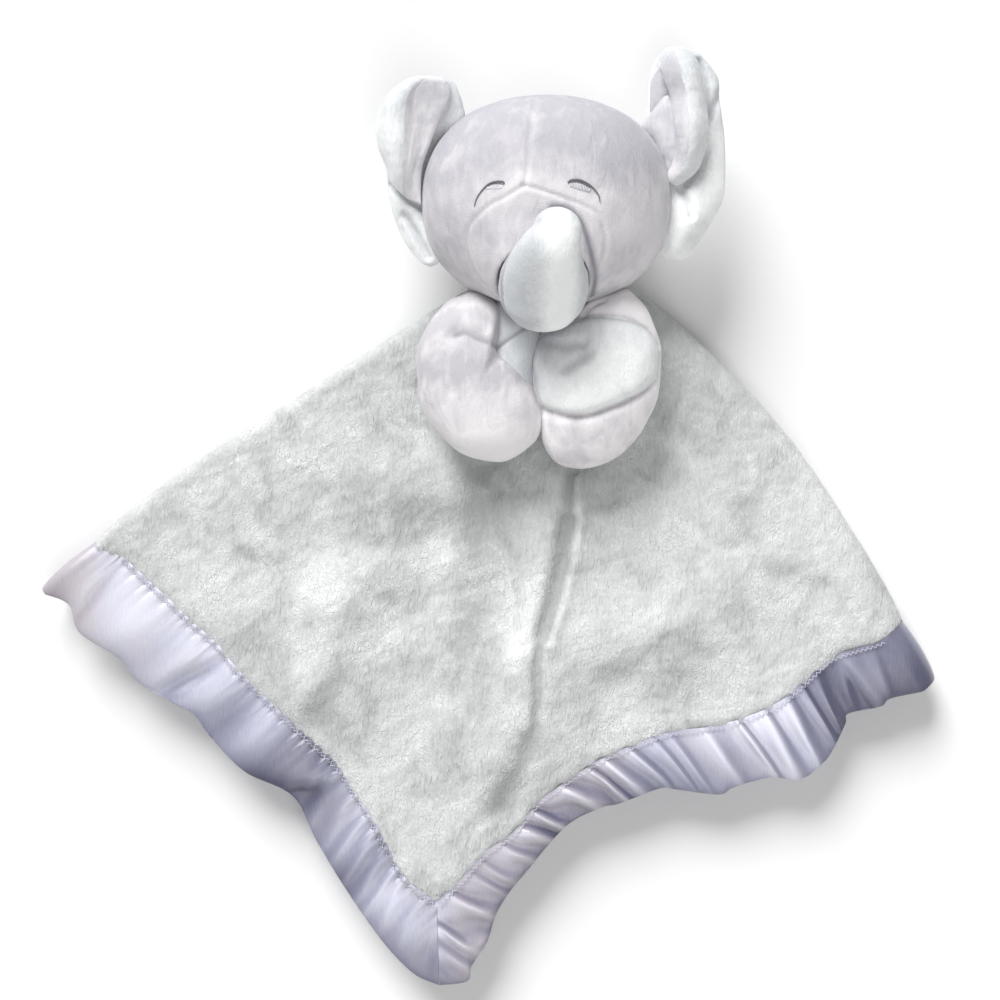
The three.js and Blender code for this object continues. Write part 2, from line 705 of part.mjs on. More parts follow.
function addHead() {
  const pocketRadius = trunkBaseWidth / 2 + clearance + trunkPocketEase;
  const cavity = neckForm(clearance).add(trunkForm(-clearance)).add(ball(trunkBase, pocketRadius));
  const shell = headForm(0).subtract(headForm(velourThickness)).subtract(cavity);
  const sides = shell.subtract(muzzlePanelSpace(clearance));
  const seam = new THREE.Vector3(headX - faceTurn, headY, 0);
  const seamOffset = new THREE.Vector3(clearance / 2, 0, 0);
  const leftSpace = halfSpace(seam.clone().sub(seamOffset), axisX.clone().negate());
  const rightSpace = halfSpace(seam.clone().add(seamOffset), axisX);
  addPiece("head_side_left", sides.intersect(leftSpace), colours.velour);
  addPiece("head_side_right", sides.intersect(rightSpace), colours.velour);
  addPiece("head_muzzle", shell.intersect(muzzlePanelSpace(0)), colours.velour);
  addPiece("head_filling", headForm(velourThickness + clearance).subtract(cavity), colours.filling);
  addPiece("eye_left", eyeForm(-1), colours.thread);
  addPiece("eye_right", eyeForm(1), colours.thread);
}

function addTrunk() {
  const shell = trunkForm(0).subtract(trunkForm(velourThickness));
  const normal = new THREE.Vector3(0, -trunkSeamRiseShare, 1).normalize();
  const above = trunkBase.clone().addScaledVector(normal, clearance / 2);
  const under = trunkBase.clone().addScaledVector(normal, -clearance / 2);
  const frontSpace = halfSpace(above, normal);
  const backSpace = halfSpace(under, normal.clone().negate());
  addPiece("trunk_underside", shell.intersect(frontSpace), colours.plush);
  addPiece("trunk_outer", shell.intersect(backSpace), colours.velour);
  addPiece("trunk_filling", trunkForm(velourThickness + clearance), colours.filling);
}

function addEars() {
  [["left", -1], ["right", 1]].forEach(([name, side]) => {
    const seam = clearance / 2;
    addPiece(`ear_${name}_front`, earLayer(side, seam, seam + velourThickness), colours.velour);
    addPiece(`ear_${name}_back`, earLayer(side, -seam - earPlushThickness, -seam), colours.plush);
  });
}

function addArms() {
  const palmSpaces = { left: leftPalmSpace, right: rightPalmSpace };
  Object.entries(armShapes).forEach(([name, shape]) => {
    const shell = armForm(shape, 0).subtract(armForm(shape, velourThickness));
    addPiece(`arm_${name}_outer`, shell.subtract(palmSpaces[name](clearance)), colours.velour);
    addPiece(`arm_${name}_palm`, shell.intersect(palmSpaces[name](0)), colours.plush);
    addPiece(`arm_${name}_filling`, armForm(shape, velourThickness + clearance), colours.filling);
  });
}

addBlanket();
addHead();
addTrunk();
addEars();
addArms();

export default toy;
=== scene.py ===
# %% [markdown]
# # A comfort blanket lovey in Blender
#
# The toy is a stuffed elephant's head with arms, sewn to the middle of a square plush blanket.
# It lies on its back, and the camera looks straight down on it.
#
# Each soft piece here starts as a bmesh grid or icosphere. A short function then works out
# where all its vertices go, with numpy. Lengths are in millimetres until the last step.

import math

import bmesh
import bpy
import numpy as np
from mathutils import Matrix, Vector, noise
from mathutils.bvhtree import BVHTree


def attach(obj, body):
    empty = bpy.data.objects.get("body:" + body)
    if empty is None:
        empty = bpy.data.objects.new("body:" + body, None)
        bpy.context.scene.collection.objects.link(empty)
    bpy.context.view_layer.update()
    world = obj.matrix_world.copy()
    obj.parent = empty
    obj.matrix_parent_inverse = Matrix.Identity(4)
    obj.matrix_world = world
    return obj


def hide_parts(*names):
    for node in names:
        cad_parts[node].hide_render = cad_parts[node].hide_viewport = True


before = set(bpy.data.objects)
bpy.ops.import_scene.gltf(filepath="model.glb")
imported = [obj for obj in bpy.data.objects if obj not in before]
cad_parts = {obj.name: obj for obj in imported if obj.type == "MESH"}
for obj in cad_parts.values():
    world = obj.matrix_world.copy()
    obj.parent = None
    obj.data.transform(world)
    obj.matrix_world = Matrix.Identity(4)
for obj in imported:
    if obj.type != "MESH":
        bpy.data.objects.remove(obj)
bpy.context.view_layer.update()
MILLIMETRE = 0.001

# %% [markdown]
# ## Reading places off the picture
#
# The picture is 1000 units wide. The camera stands 800 mm above the table, where one unit is
# 0.345 mm. Something higher up looks larger, so its height is needed to place it.

# %%
CAMERA_HEIGHT = 800.0
PICTURE_HALF = 500
UNIT = 0.345


def plan(points, height):
    """Places read off the picture, as millimetres across and up the table."""
    across_down = np.asarray(points, float)
    scale = UNIT * (CAMERA_HEIGHT - height) / CAMERA_HEIGHT
    across, down = across_down[..., 0], across_down[..., 1]
    return np.stack([across - PICTURE_HALF, PICTURE_HALF - down], -1) * scale


def spline(place, count):
    """The four neighbours of each place in a table of count rows, each with its weight."""
    index = np.minimum(place.astype(int), count - 2)
    t = place - index
    weights = (
        t * (-1 + t * (2 - t)), 2 + t * t * (3 * t - 5), t * (1 + t * (4 - 3 * t)), t * t * (t - 1)
    )
    return [
        (np.clip(index + step, 0, count - 1), weight / 2)
        for step, weight in zip((-1, 0, 1, 2), weights)
    ]


def smooth(values, share):
    """Reads a table of evenly spaced values smoothly, at shares of its length."""
    table = np.asarray(values, float)
    place = np.clip(np.asarray(share, float), 0, 1) * (len(table) - 1)
    return sum((table[near].T * weight).T for near, weight in spline(place, len(table)))


def smooth_rows(rows, share):
    """Reads one value for each column of a table of rows, at its own share of the height."""
    place = np.clip(share, 0, 1) * (len(rows) - 1)
    column = np.arange(rows.shape[1])
    return sum(rows[near, column] * weight[:, None] for near, weight in spline(place, len(rows)))


def smooth_table(table, rows, columns):
    """Reads a square table smoothly in both directions."""
    return sum(
        row_weight * column_weight * table[row, column]
        for row, row_weight in spline(rows, len(table))
        for column, column_weight in spline(columns, len(table))
    )


def by_length(points, samples=400):
    """The same curve, read by shares of its real length."""
    dense = smooth(points, np.linspace(0, 1, samples))
    steps = np.linalg.norm(np.diff(dense, axis=0), axis=1)
    shares = np.concatenate([[0], np.cumsum(steps)]) / steps.sum()
    columns = dense.T

    def read(share):
        return np.stack([np.interp(share, shares, column) for column in columns], -1)

    return read


def distance(points, place):
    return np.linalg.norm(points - place, axis=1)


def pick(values, share):
    """The values of a row that lie at shares of its length."""
    return values[np.rint(share * (len(values) - 1)).astype(int)]


def line_distance(points, line):
    """Distance of each point from a chain of straight parts."""
    best = np.full(len(points), np.inf)
    for start, end in zip(line[:-1], line[1:]):
        along = end - start
        share = np.clip((points - start) @ along / (along @ along), 0, 1)
        best = np.minimum(best, distance(points, start + share[:, None] * along))
    return best


def ramp(value, start, end):
    """0 at start, 1 at end, straight between them and level beyond; end may be the smaller."""
    return np.clip((value - start) / (end - start), 0, 1)


def bell(offset, width):
    """1 in the middle, falling smoothly to 0 on both sides."""
    return np.exp(-((offset / width) ** 2))


def groove(points, line, width):
    """1 on the line, falling smoothly to 0 beside it."""
    return bell(line_distance(points, line), width)


def marked(points, line, width, height):
    """A groove seen from above, along a line read off the picture at a height."""
    return groove(points[:, :2], plan(line, height), width)


def rough(points, size, seed=0):
    """Smooth noise about -1 to 1, with lumps of a size in millimetres."""
    shift = Vector((seed * 17.3, seed * 5.1, seed * 9.7))
    scaled = np.asarray(points, float) / size
    return np.array([noise.noise(Vector(p) + shift) for p in scaled])


# %% [markdown]
# ## Making meshes
#
# A flat grid has a place (u, v) for each vertex, and a ball has a direction. A piece is made by
# working out where each of them goes. `bmesh.ops.remove_doubles` closes the seams.

# %%
WELD = 0.00002
FINE_WELD = 0.000001
FINE_BALL = 7  # An icosphere's subdivisions for a visible skin, and for one that rays hit.
LOOKUP_BALL = 6
NECK_BALL = 5
TUBE_SIDE = [0.31, 0.17, 0.94]  # Any direction that no thread follows.
TUBE_END = 0.2
PILLOW_ENDS = 6, 9


def unit(vectors):
    return vectors / np.linalg.norm(vectors, axis=1)[:, None]


def add_object(name, data):
    """Puts a mesh, light or camera into the scene."""
    made = bpy.data.objects.new(name, data)
    bpy.context.scene.collection.objects.link(made)
    return made


def finish_mesh(name, bm, body, material, weld=WELD):
    """Welds, turns the faces outwards, and makes a smooth shaded object that rides a body."""
    bmesh.ops.remove_doubles(bm, verts=bm.verts, dist=weld)
    bmesh.ops.recalc_face_normals(bm, faces=bm.faces)
    for face in bm.faces:
        face.smooth = True
    mesh = bpy.data.meshes.new(name)
    bm.to_mesh(mesh)
    bm.free()
    mesh.materials.append(material)
    piece = add_object(name, mesh)
    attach(piece, body)
    print(name, len(mesh.polygons), "faces")
    return piece


def shade_layer(bm):
    return bm.verts.layers.float.get("shade") or bm.verts.layers.float.new("shade")


def move(bm, verts, placed):
    """Moves vertices to their points. A tuple also has their painted shades, which materials read.
    """
    points, shades = placed if isinstance(placed, tuple) else (placed, np.zeros(len(placed)))
    layer = shade_layer(bm)
    for vert, point, value in zip(verts, points * MILLIMETRE, shades):
        vert.co = point
        vert[layer] = value


def add_grid(bm, columns, rows, place):
    """Adds a grid of vertices to a bmesh; place(u, v) gives each one's point."""
    shade_layer(bm)
    made = bmesh.ops.create_grid(bm, x_segments=columns, y_segments=rows, size=0.5)
    flat = np.array([v.co for v in made["verts"]]) + 0.5
    move(bm, made["verts"], place(flat[:, 0], flat[:, 1]))


def add_ball(bm, detail, place):
    """Adds an icosphere; place(directions) gives each vertex's point."""
    shade_layer(bm)
    made = bmesh.ops.create_icosphere(bm, subdivisions=detail, radius=1)
    directions = np.array([v.co for v in made["verts"]])
    move(bm, made["verts"], place(unit(directions)))


def make_ball(name, detail, place, body, material):
    bm = bmesh.new()
    add_ball(bm, detail, place)
    return finish_mesh(name, bm, body, material, FINE_WELD)


def make_grid(name, columns, rows, place, body, material):
    bm = bmesh.new()
    add_grid(bm, columns, rows, place)
    return finish_mesh(name, bm, body, material)


def add_tube(bm, path, radius, sides):
    """A thread along a path, drawn in at its ends. The radius is one number or one a point."""
    tangents = unit(np.gradient(path, axis=0))
    side = unit(np.cross(tangents, TUBE_SIDE))
    front = np.cross(side, tangents)
    last = len(path) - 1
    radii = np.broadcast_to(radius, len(path))

    def place(u, v):
        index = np.rint(v * last).astype(int)
        size = radii[index] * np.where((index == 0) | (index == last), TUBE_END, 1)
        turn = u * 2 * math.pi
        offset = np.cos(turn)[:, None] * side[index] + np.sin(turn)[:, None] * front[index]
        return path[index] + offset * size[:, None]

    add_grid(bm, sides, last, place)


def surface_normals(surface, u, v, step=0.004):
    """Unit normals of a surface(u, v), from its slopes."""
    across = surface(np.clip(u + step, 0, 1), v) - surface(np.clip(u - step, 0, 1), v)
    along = surface(u, np.clip(v + step, 0, 1)) - surface(u, np.clip(v - step, 0, 1))
    normal = np.cross(across, along)
    return normal / np.maximum(np.linalg.norm(normal, axis=1), 1e-9)[:, None]


def add_pillow(bm, surface, thickness, columns, rows, fuzz):
    """Two sewn layers, puffed apart in the middle and closed all round."""

    def layer(sign):
        def place(u, v):
            ends = [np.minimum(w, 1 - w) * size for w, size in zip((u, v), PILLOW_ENDS)]
            puff = np.sqrt(1 - (1 - np.clip(np.minimum(*ends), 0, 1)) ** 2)
            points = surface(u, v)
            height = sign * puff * thickness / 2 * (1 - 0.5 * v**4)
            height = height + puff * fuzz * rough(points, 2.6, 3)
            return points + surface_normals(surface, u, v) * height[:, None]

        return place

    add_grid(bm, columns, rows, layer(1))
    add_grid(bm, columns, rows, layer(-1))


def loft(rows_of_points):
    """A smooth surface through a table of points: u across each row, v from row to row."""
    table = np.asarray(rows_of_points, float)

    def surface(u, v):
        across = [smooth(row, u) for row in table]
        return smooth_rows(np.stack(across), v)

    return surface


def lifted(rows):
    """Turns rows of (across, down, height), read off the picture, into frame points."""
    table = np.asarray(rows, float)
    flat = [[plan(point[:2], point[2]) for point in row] for row in table]
    return np.concatenate([np.array(flat), table[..., 2:]], -1)


# %% [markdown]
# ## Materials
#
# `Value` wraps a shader socket, so that sums and products read like arithmetic.
# Every texture uses object coordinates, which are the frame's metres. Each mesh also brings
# a shade: its painted light and shade, which the materials add to their own tones.

# %%
# How far below zero the shade goes, from where a painted gap shadow begins to where it is full.
GAP_SHADOW_LEVELS = 0.6, 1.6


def colour(red, green, blue):
    return (red, green, blue, 1.0)


# The nearly black colour of the painted shadow in gaps between pieces.
GAP_SHADOW_COLOUR = colour(0.05, 0.05, 0.06)


class Value:
    """A shader value. Arithmetic on it adds the maths nodes."""

    def __init__(self, tree, socket):
        self.tree = tree
        self.socket = socket

    def math(self, operation, *others):
        slots = dict(enumerate((self, *others)))
        return add_node(self.tree, "ShaderNodeMath", {"operation": operation}, slots)

    def __add__(self, other):
        return self.math("ADD", other)

    def __mul__(self, other):
        return self.math("MULTIPLY", other)

    def __neg__(self):
        return self * -1.0

    def __rsub__(self, other):
        return -self + other

    __radd__ = __add__
    __rmul__ = __mul__

    def clamp(self):
        return self.math("MAXIMUM", 0.0).math("MINIMUM", 1.0)

    def spread(self, low, high):
        """Spreads the values between low and high over 0 to 1."""
        slots = {"Value": self, "From Min": low, "From Max": high}
        return add_node(self.tree, "ShaderNodeMapRange", {}, slots)


def connect(tree, value, slot):
    """Links a value to a socket, or sets the socket to a plain number or colour."""
    if isinstance(value, Value):
        tree.links.new(value.socket, slot)
    else:
        slot.default_value = value


def add_node(tree, kind, settings, slots, output=0):
    """Adds a node with its settings and its sockets' values, and returns one of its outputs."""
    node = tree.nodes.new(kind)
    for name, value in settings.items():
        setattr(node, name, value)
    for name, value in slots.items():
        connect(tree, value, node.inputs[name])
    return Value(tree, node.outputs[output])


class Surface:
    """A material under construction."""

    def __init__(self, name, **settings):
        self.material = bpy.data.materials.new(name)
        self.material.use_nodes = True
        self.tree = self.material.node_tree
        self.shader = self.tree.nodes["Principled BSDF"]
        self.coords = self.node("ShaderNodeTexCoord", output="Object")
        for setting, value in settings.items():
            self.set(setting.replace("_", " "), value)

    def node(self, kind, output=0, settings=None, **slots):
        """Adds any other node to this material."""
        return add_node(self.tree, kind, settings or {}, slots, output)

    def noise(self, size, detail=2.0, scale=(1, 1, 1), turn=0.0, distortion=0.0):
        """Noise with lumps of a size in millimetres, on turned and scaled coordinates."""
        place = self.node(
            "ShaderNodeMapping", Vector=self.coords, Scale=scale, Rotation=(0, 0, turn)
        )
        return self.node(
            "ShaderNodeTexNoise", Vector=place, Scale=1 / (size * MILLIMETRE), Detail=detail,
            Distortion=distortion,
        )

    def shade(self):
        """The mesh's painted light and shade, zero where it has none."""
        return self.node("ShaderNodeAttribute", "Fac", {"attribute_name": "shade"})

    def mix(self, share, first, second):
        """Mixes two colours. A Mix node has its colours at sockets 6 and 7 and output 2."""
        slots = {0: share, 6: first, 7: second}
        return add_node(self.tree, "ShaderNodeMix", {"data_type": "RGBA"}, slots, 2)

    def bump(self, height, distance):
        """Tilts the light by a height from 0 to 1, which stands for a distance in metres."""
        self.set("Normal", self.node("ShaderNodeBump", Height=height, Distance=distance))

    def set(self, name, value):
        connect(self.tree, value, self.shader.inputs[name])

    def paint(self, tone, dark, light):
        """The base colour, with a nearly black painted shadow where the shade marks a gap between
        two pieces.
        """
        base = self.mix(tone.clamp(), dark, light)
        gap = (-self.shade()).spread(*GAP_SHADOW_LEVELS)
        self.set("Base Color", self.mix(gap, base, GAP_SHADOW_COLOUR))


def plush_material(name, dark, light, bump=1.0):
    """Brushed plush: smooth grey areas, and pale ones where the pile stands in curly tufts, with
    painted glints on them.
    """
    sheet = Surface(name, Roughness=0.92, Sheen_Weight=0.2, Sheen_Roughness=0.5)
    broad = sheet.noise(34, 3.0, distortion=0.7).spread(0.36, 0.64)
    patches = sheet.noise(12, 5.0, (1, 0.75, 1), 0.2, 0.9).spread(0.38, 0.64)
    streaks = sheet.noise(1.0, 4.0, (1, 0.3, 1), -0.3, 0.8)
    tufts = sheet.noise(1.3, 4.0, (1, 0.55, 1), 0.3, 1.8)
    fibre = tufts * patches + streaks * (1.0 - patches)
    # Painted glints: small painted highlights on the pale tufts.
    painted_glints = sheet.noise(0.8, 2.0, (1, 0.4, 1), 0.35, 1.5).spread(0.54, 0.72) * patches
    tone = broad * 0.26 + patches * 0.3 + fibre.spread(0.3, 0.7) * 0.3 + painted_glints * 0.34
    sheet.paint(tone + sheet.shade(), dark, light)
    sheet.bump(fibre, 0.0007 * bump)
    return sheet.material


def velour_material(name, dark, light):
    """Short velour: a fine even nap with soft clouds where it was stroked."""
    nap = Surface(name, Roughness=0.78, Sheen_Weight=0.35, Sheen_Roughness=0.4)
    clouds = nap.noise(15, 3.0, distortion=1.2).spread(0.36, 0.64)
    strokes = nap.noise(4.0, 4.0, (1, 0.35, 1), 0.4, 0.8).spread(0.34, 0.7)
    grain = nap.noise(0.35, 2.0)
    tone = clouds * 0.4 + strokes * 0.38 + grain * 0.22 + nap.shade()
    nap.paint(tone, dark, light)
    nap.bump(grain * 0.5 + strokes * 0.5, 0.00035)
    return nap.material


def satin_material(name):
    """Satin: a close weave with a soft gloss, pinker at the left corner and on the gathers, and
    with painted shade and painted reflections from its tone.
    """
    weave = Surface(name, Roughness=0.3, Sheen_Weight=0.1)
    areas = weave.noise(26, 2.0, distortion=0.6).spread(0.5, 0.7) * 0.5
    x = weave.node("ShaderNodeSeparateXYZ", Vector=weave.coords)
    gathers = x.spread(-0.022, -0.014) * (-x).spread(-0.05, -0.035)
    areas = areas.math("MAXIMUM", (-x).spread(0.125, 0.142)).math("MAXIMUM", gathers * 0.8)
    threads = weave.noise(0.5, 2.0, (1, 0.12, 1), 0.8)
    body = weave.mix(areas, colour(0.3, 0.305, 0.395), colour(0.39, 0.355, 0.395))
    tone = threads * 0.16 + weave.shade() + 0.42
    # Tones below a half mix towards a painted shade colour, and tones above it towards a painted
    # reflection colour.
    low = weave.mix(tone.spread(0.0, 0.5), colour(0.1, 0.1, 0.155), body)
    high = weave.mix(areas, colour(0.7, 0.705, 0.82), colour(0.72, 0.7, 0.75))
    weave.set("Base Color", weave.mix(tone.spread(0.5, 1.0), low, high))
    weave.bump(threads, 0.00006)
    return weave.material


def thread_material(name, dark, light):
    thread = Surface(name, Roughness=0.45, Sheen_Weight=0.2)
    thread.set("Base Color", thread.mix(thread.noise(0.6, 2.0), dark, light))
    return thread.material


PLUSH = plush_material("plush", colour(0.4, 0.412, 0.412), colour(0.84, 0.858, 0.85))
LIMB_PLUSH = plush_material(
    "limb plush", colour(0.58, 0.6, 0.62), colour(0.95, 0.965, 0.96), 0.45
)
BACKING = plush_material("backing", colour(0.5, 0.52, 0.52), colour(0.62, 0.64, 0.64), 0.3)
VELOUR = velour_material("velour", colour(0.44, 0.43, 0.47), colour(0.71, 0.69, 0.71))
# The arms' and ears' velour is the same cloth as the head's, painted lighter as painted light.
ARM_VELOUR = velour_material("arm velour", colour(0.5, 0.485, 0.515), colour(0.92, 0.895, 0.91))
EAR_VELOUR = velour_material("ear velour", colour(0.52, 0.515, 0.55), colour(0.8, 0.785, 0.8))
SATIN = satin_material("satin")
DARK_THREAD = thread_material("eye thread", colour(0.09, 0.085, 0.1), colour(0.2, 0.19, 0.22))
PALE_THREAD = thread_material("pale thread", colour(0.5, 0.49, 0.54), colour(0.85, 0.84, 0.88))
SEAM_THREAD = thread_material("seam thread", colour(0.33, 0.33, 0.4), colour(0.7, 0.69, 0.78))

# %% [markdown]
# ## The folded blanket
#
# The blanket is described flat: p and q run from -1 to 1 across the square, with the neck in
# the middle. The half with negative p is folded under along the left fold, and then the half
# with negative q along the right fold. `blanket_point` gives the folded place of any (p, q).

# %%
# Millimetres: half the square, one layer, the radii of the two folds, the middle height of
# the stack, and how far the hidden layers stay behind the front one.
HALF = 200.0
SHEET = 3.5
INNER_FOLD = 2.0
OUTER_FOLD = 6.0
STACK_MIDDLE = 7.75
UNDER_INSET = 5.0
BOUND = 0.89  # The share of the half where the satin begins.
LEFT_ARC = math.pi / 2 * INNER_FOLD / HALF
RIGHT_ARC = math.pi / 2 * OUTER_FOLD / HALF
LAYER_RADIUS = STACK_MIDDLE - SHEET / 2 - INNER_FOLD

APEX = np.array([0.09, 0.425]) * HALF
LEFT_CORNER = np.array([-0.772, -0.16]) * HALF
RIGHT_CORNER = np.array([0.718, -0.325]) * HALF
QUARTER_MIDDLE = np.array([0.0, -40.0])
BORDER_HEIGHT = 15.0

LEFT_SEAM_UNITS = [
    (112, 556), (124, 562), (144, 580), (171, 605), (189, 623), (214, 645), (234, 670),
    (252, 688), (275, 711), (303, 737), (333, 765), (357, 800), (377, 834), (403, 880),
    (437, 906),
]
LEFT_EDGE_UNITS = [
    (68, 605), (79, 633), (120, 660), (138, 682), (173, 704), (193, 715), (210, 737),
    (244, 772), (293, 797), (316, 841), (347, 892), (383, 943), (413, 974), (439, 986),
]
RIGHT_SEAM_UNITS = [
    (878, 645), (839, 657), (821, 670), (799, 690), (784, 702), (766, 712), (739, 722),
    (709, 729), (677, 733), (655, 739), (635, 747), (605, 760), (585, 772), (554, 793),
    (538, 806), (515, 834), (487, 854), (462, 882), (437, 906),
]
RIGHT_EDGE_UNITS = [
    (891, 699), (881, 707), (849, 714), (846, 724), (834, 749), (824, 763), (801, 780),
    (771, 778), (734, 788), (719, 795), (677, 790), (660, 789), (620, 804), (602, 808),
    (571, 823), (548, 846), (531, 867), (508, 895), (495, 918), (487, 943), (472, 966),
    (467, 982), (439, 986),
]


def outward_normal(start, end):
    """The unit normal of a fold's chord, on the side away from the quarter."""
    along = end - start
    normal = np.array([along[1], -along[0]]) / np.linalg.norm(along)
    return normal if normal @ (start - QUARTER_MIDDLE) > 0 else -normal


def fold_line(start, end, bulges):
    """A fold's line as a function of the share of its length, bulging out of its chord."""
    normal = outward_normal(start, end)
    chord = np.linalg.norm(end - start)

    def read(share):
        share = np.asarray(share, float)[..., None]
        bulge = chord * smooth(bulges, share[..., 0])[..., None]
        return start + (end - start) * share + normal * bulge

    return read


left_fold = fold_line(APEX, LEFT_CORNER, [0, 0.012, 0.018, 0.022, 0])
right_fold = fold_line(APEX, RIGHT_CORNER, [0, 0.05, 0.068, 0.043, 0])
LEFT_NORMAL = outward_normal(APEX, LEFT_CORNER)
RIGHT_NORMAL = outward_normal(APEX, RIGHT_CORNER)


def border_line(first, units):
    return by_length(np.vstack([first, plan(units, BORDER_HEIGHT)]))


left_seam = border_line(left_fold(BOUND), LEFT_SEAM_UNITS)
left_edge = border_line(LEFT_CORNER, LEFT_EDGE_UNITS)
right_seam = border_line(right_fold(BOUND), RIGHT_SEAM_UNITS)
right_edge = border_line(RIGHT_CORNER, RIGHT_EDGE_UNITS)


def between(first, second, share):
    return first + (second - first) * share[:, None]


def quarter_point(a, b):
    """A place in the quarter: a and b are shares of its sides, away from the apex."""
    across, down = np.minimum(a / BOUND, 1), np.minimum(b / BOUND, 1)
    inside = between(right_fold(across * BOUND), left_seam(across), down)
    inside = inside + between(left_fold(down * BOUND), right_seam(down), across)
    flat_top = between(APEX, right_fold(BOUND), across)
    flat_low = between(left_fold(BOUND), left_seam(1.0), across)
    inside = inside - between(flat_top, flat_low, down)
    largest = np.maximum(a, b)
    out = ramp(largest, BOUND, 1)
    share = np.minimum(a, b) / np.maximum(largest, 1e-9)
    right = between(right_seam(share), right_edge(share), out)
    left = between(left_seam(share), left_edge(share), out)
    border = np.where((a >= b)[:, None], right, left)
    return np.where((out > 0)[:, None], border, inside)


# %% [markdown]
# The front quarter doesn't lie flat. Broad soft folds lift it, and a narrow valley runs down
# from between the hands.

# %%
SOFT_FOLDS = [
    [(0.15, 0), (0.155, -0.1), (0.115, -0.235), (0.088, -0.335), (0.07, -0.45)],
    [(0.05, -0.02), (0.032, -0.17), (-0.008, -0.32), (-0.05, -0.5)],
    [(0.17, -0.3), (0.28, -0.18), (0.4, -0.1)],
    [(-0.13, 0.02), (-0.28, -0.2), (-0.3, -0.33)],
]
FOLD_HEIGHT = 4.6
FOLD_WIDTH = 11.0
FOLD_FADE = 0.12
SOLID_LINES = np.array([0.0, 0.078, 0.16, 0.26, 0.36, 0.47, 0.58, 0.69, 0.8, 0.89, 1.0])
VALLEY_HEIGHT = 18
RIDGE_HEIGHT = 20
# Lines of the valley, from the top down, each with its depth, width and the darkness of the
# painted shade in it.
VALLEY = [
    ([(570, 473), (569, 505), (564, 545)], 1.4, 1.8, 0.5),
    ([(567, 520), (561, 556), (550, 603), (541, 636)], 2.2, 2.9, 0.72),
    ([(541, 636), (536, 665), (537, 700), (534, 735)], 1.5, 1.7, 0.6),
    ([(530, 742), (517, 772), (503, 808)], 1.6, 4.2, 0.62),
]
THIN_RIDGE = [(576, 480), (579, 520), (575, 560), (564, 602), (550, 645)]
LEFT_RIDGE = [(556, 480), (553, 530), (545, 580), (533, 620), (522, 655)]
DIMPLES = [
    [(318, 716), (333, 684)], [(744, 508), (744, 542)], [(777, 571), (826, 585)],
    [(612, 684), (667, 640)], [(476, 480), (470, 560), (462, 640)], [(240, 560), (300, 575)],
    [(500, 780), (494, 812)],
]
# Painted sheen and painted shade on the plush where the pile leans: a line, its width in
# millimetres and its tone.
PLUSH_LIGHT_AND_SHADE = [
    ([(482, 480), (484, 560), (478, 660)], 9, -0.1),
    ([(530, 485), (528, 560), (512, 650)], 5, 0.22),
    ([(640, 500), (700, 520)], 14, 0.16),
    ([(704, 575), (660, 620), (612, 690)], 7, 0.2),
    ([(690, 650), (670, 690)], 9, -0.16),
    ([(310, 575), (370, 560), (435, 560)], 8, 0.2),
    ([(195, 590), (245, 600)], 9, 0.16),
    ([(350, 490), (410, 500)], 12, -0.14),
    ([(396, 540), (414, 538)], 4, -0.2),
    ([(215, 530), (300, 495)], 9, -0.12),
    ([(443, 462), (447, 490)], 4, 0.25),
    ([(385, 640), (430, 600)], 7, 0.18),
    ([(345, 665), (330, 690), (315, 715)], 5, -0.4),
    ([(790, 480), (830, 560)], 12, 0.1),
    ([(680, 450), (694, 462)], 4, 0.2),
]
# Where the hands rest on the blanket, how far they press it and how deep.
HANDS = [np.array([-7.0, 40.0]), np.array([33.5, 40.0])]
HAND_REACH = 27
HAND_DEPTH = 0.4


def broad_lift_table():
    """Heights of the broad folds where the solid's grid lines cross."""
    a, b = np.meshgrid(SOLID_LINES, SOLID_LINES, indexing="ij")
    flat = quarter_point(a.ravel(), b.ravel())
    lines = [np.array(line) * HALF for line in SOFT_FOLDS]
    lift = sum(FOLD_HEIGHT * groove(flat, line, FOLD_WIDTH) for line in lines)
    fade = np.minimum(a / FOLD_FADE, 1) * np.minimum(b / FOLD_FADE, 1)
    return lift.reshape(a.shape) * fade * ramp(np.maximum(a, b), BOUND, BOUND - FOLD_FADE)


BROAD_LIFT = broad_lift_table()


def broad_lift(a, b):
    """The broad folds, smooth between the solid's grid lines."""
    rows, columns = (np.interp(x, SOLID_LINES, np.arange(len(SOLID_LINES))) for x in (a, b))
    return smooth_table(BROAD_LIFT, rows, columns)


def fine_lift(flat):
    """The narrow valley, thin ridges and dimples between the broad folds."""
    lift = 1.3 * marked(flat, THIN_RIDGE, 2.2, RIDGE_HEIGHT)
    lift += 0.7 * marked(flat, LEFT_RIDGE, 4, RIDGE_HEIGHT)
    valley = [
        depth * marked(flat, line, width, VALLEY_HEIGHT) for line, depth, width, _ in VALLEY
    ]
    lift -= np.max(valley, axis=0)
    for line in DIMPLES:
        lift -= 0.9 * marked(flat, line, 4.0, VALLEY_HEIGHT)
    flat3 = np.column_stack([flat, np.zeros(len(flat))])
    return lift + 0.55 * rough(flat3, 30, 1) + 0.3 * rough(flat3, 12, 2)


def front_lift(flat, a, b):
    """All that lifts the front quarter, pressed flat under the hands."""
    lift = broad_lift(a, b) + fine_lift(flat)
    for hand in HANDS:
        pressed = np.exp(-((distance(flat, hand) / HAND_REACH) ** 6))
        lift = lift * (1 - pressed) - HAND_DEPTH * pressed
    return lift


def fold_turn(value, arc):
    """How far the cloth has turned round a fold: -90 degrees behind it, 90 in front."""
    return math.pi / 2 * np.clip(value / arc, -1, 1)


def frontness(p, q):
    """1 on the front quarter, falling to 0 round both folds."""
    turns = fold_turn(p, LEFT_ARC), fold_turn(q, RIGHT_ARC)
    return (1 + np.sin(turns[0])) * (1 + np.sin(turns[1])) / 4


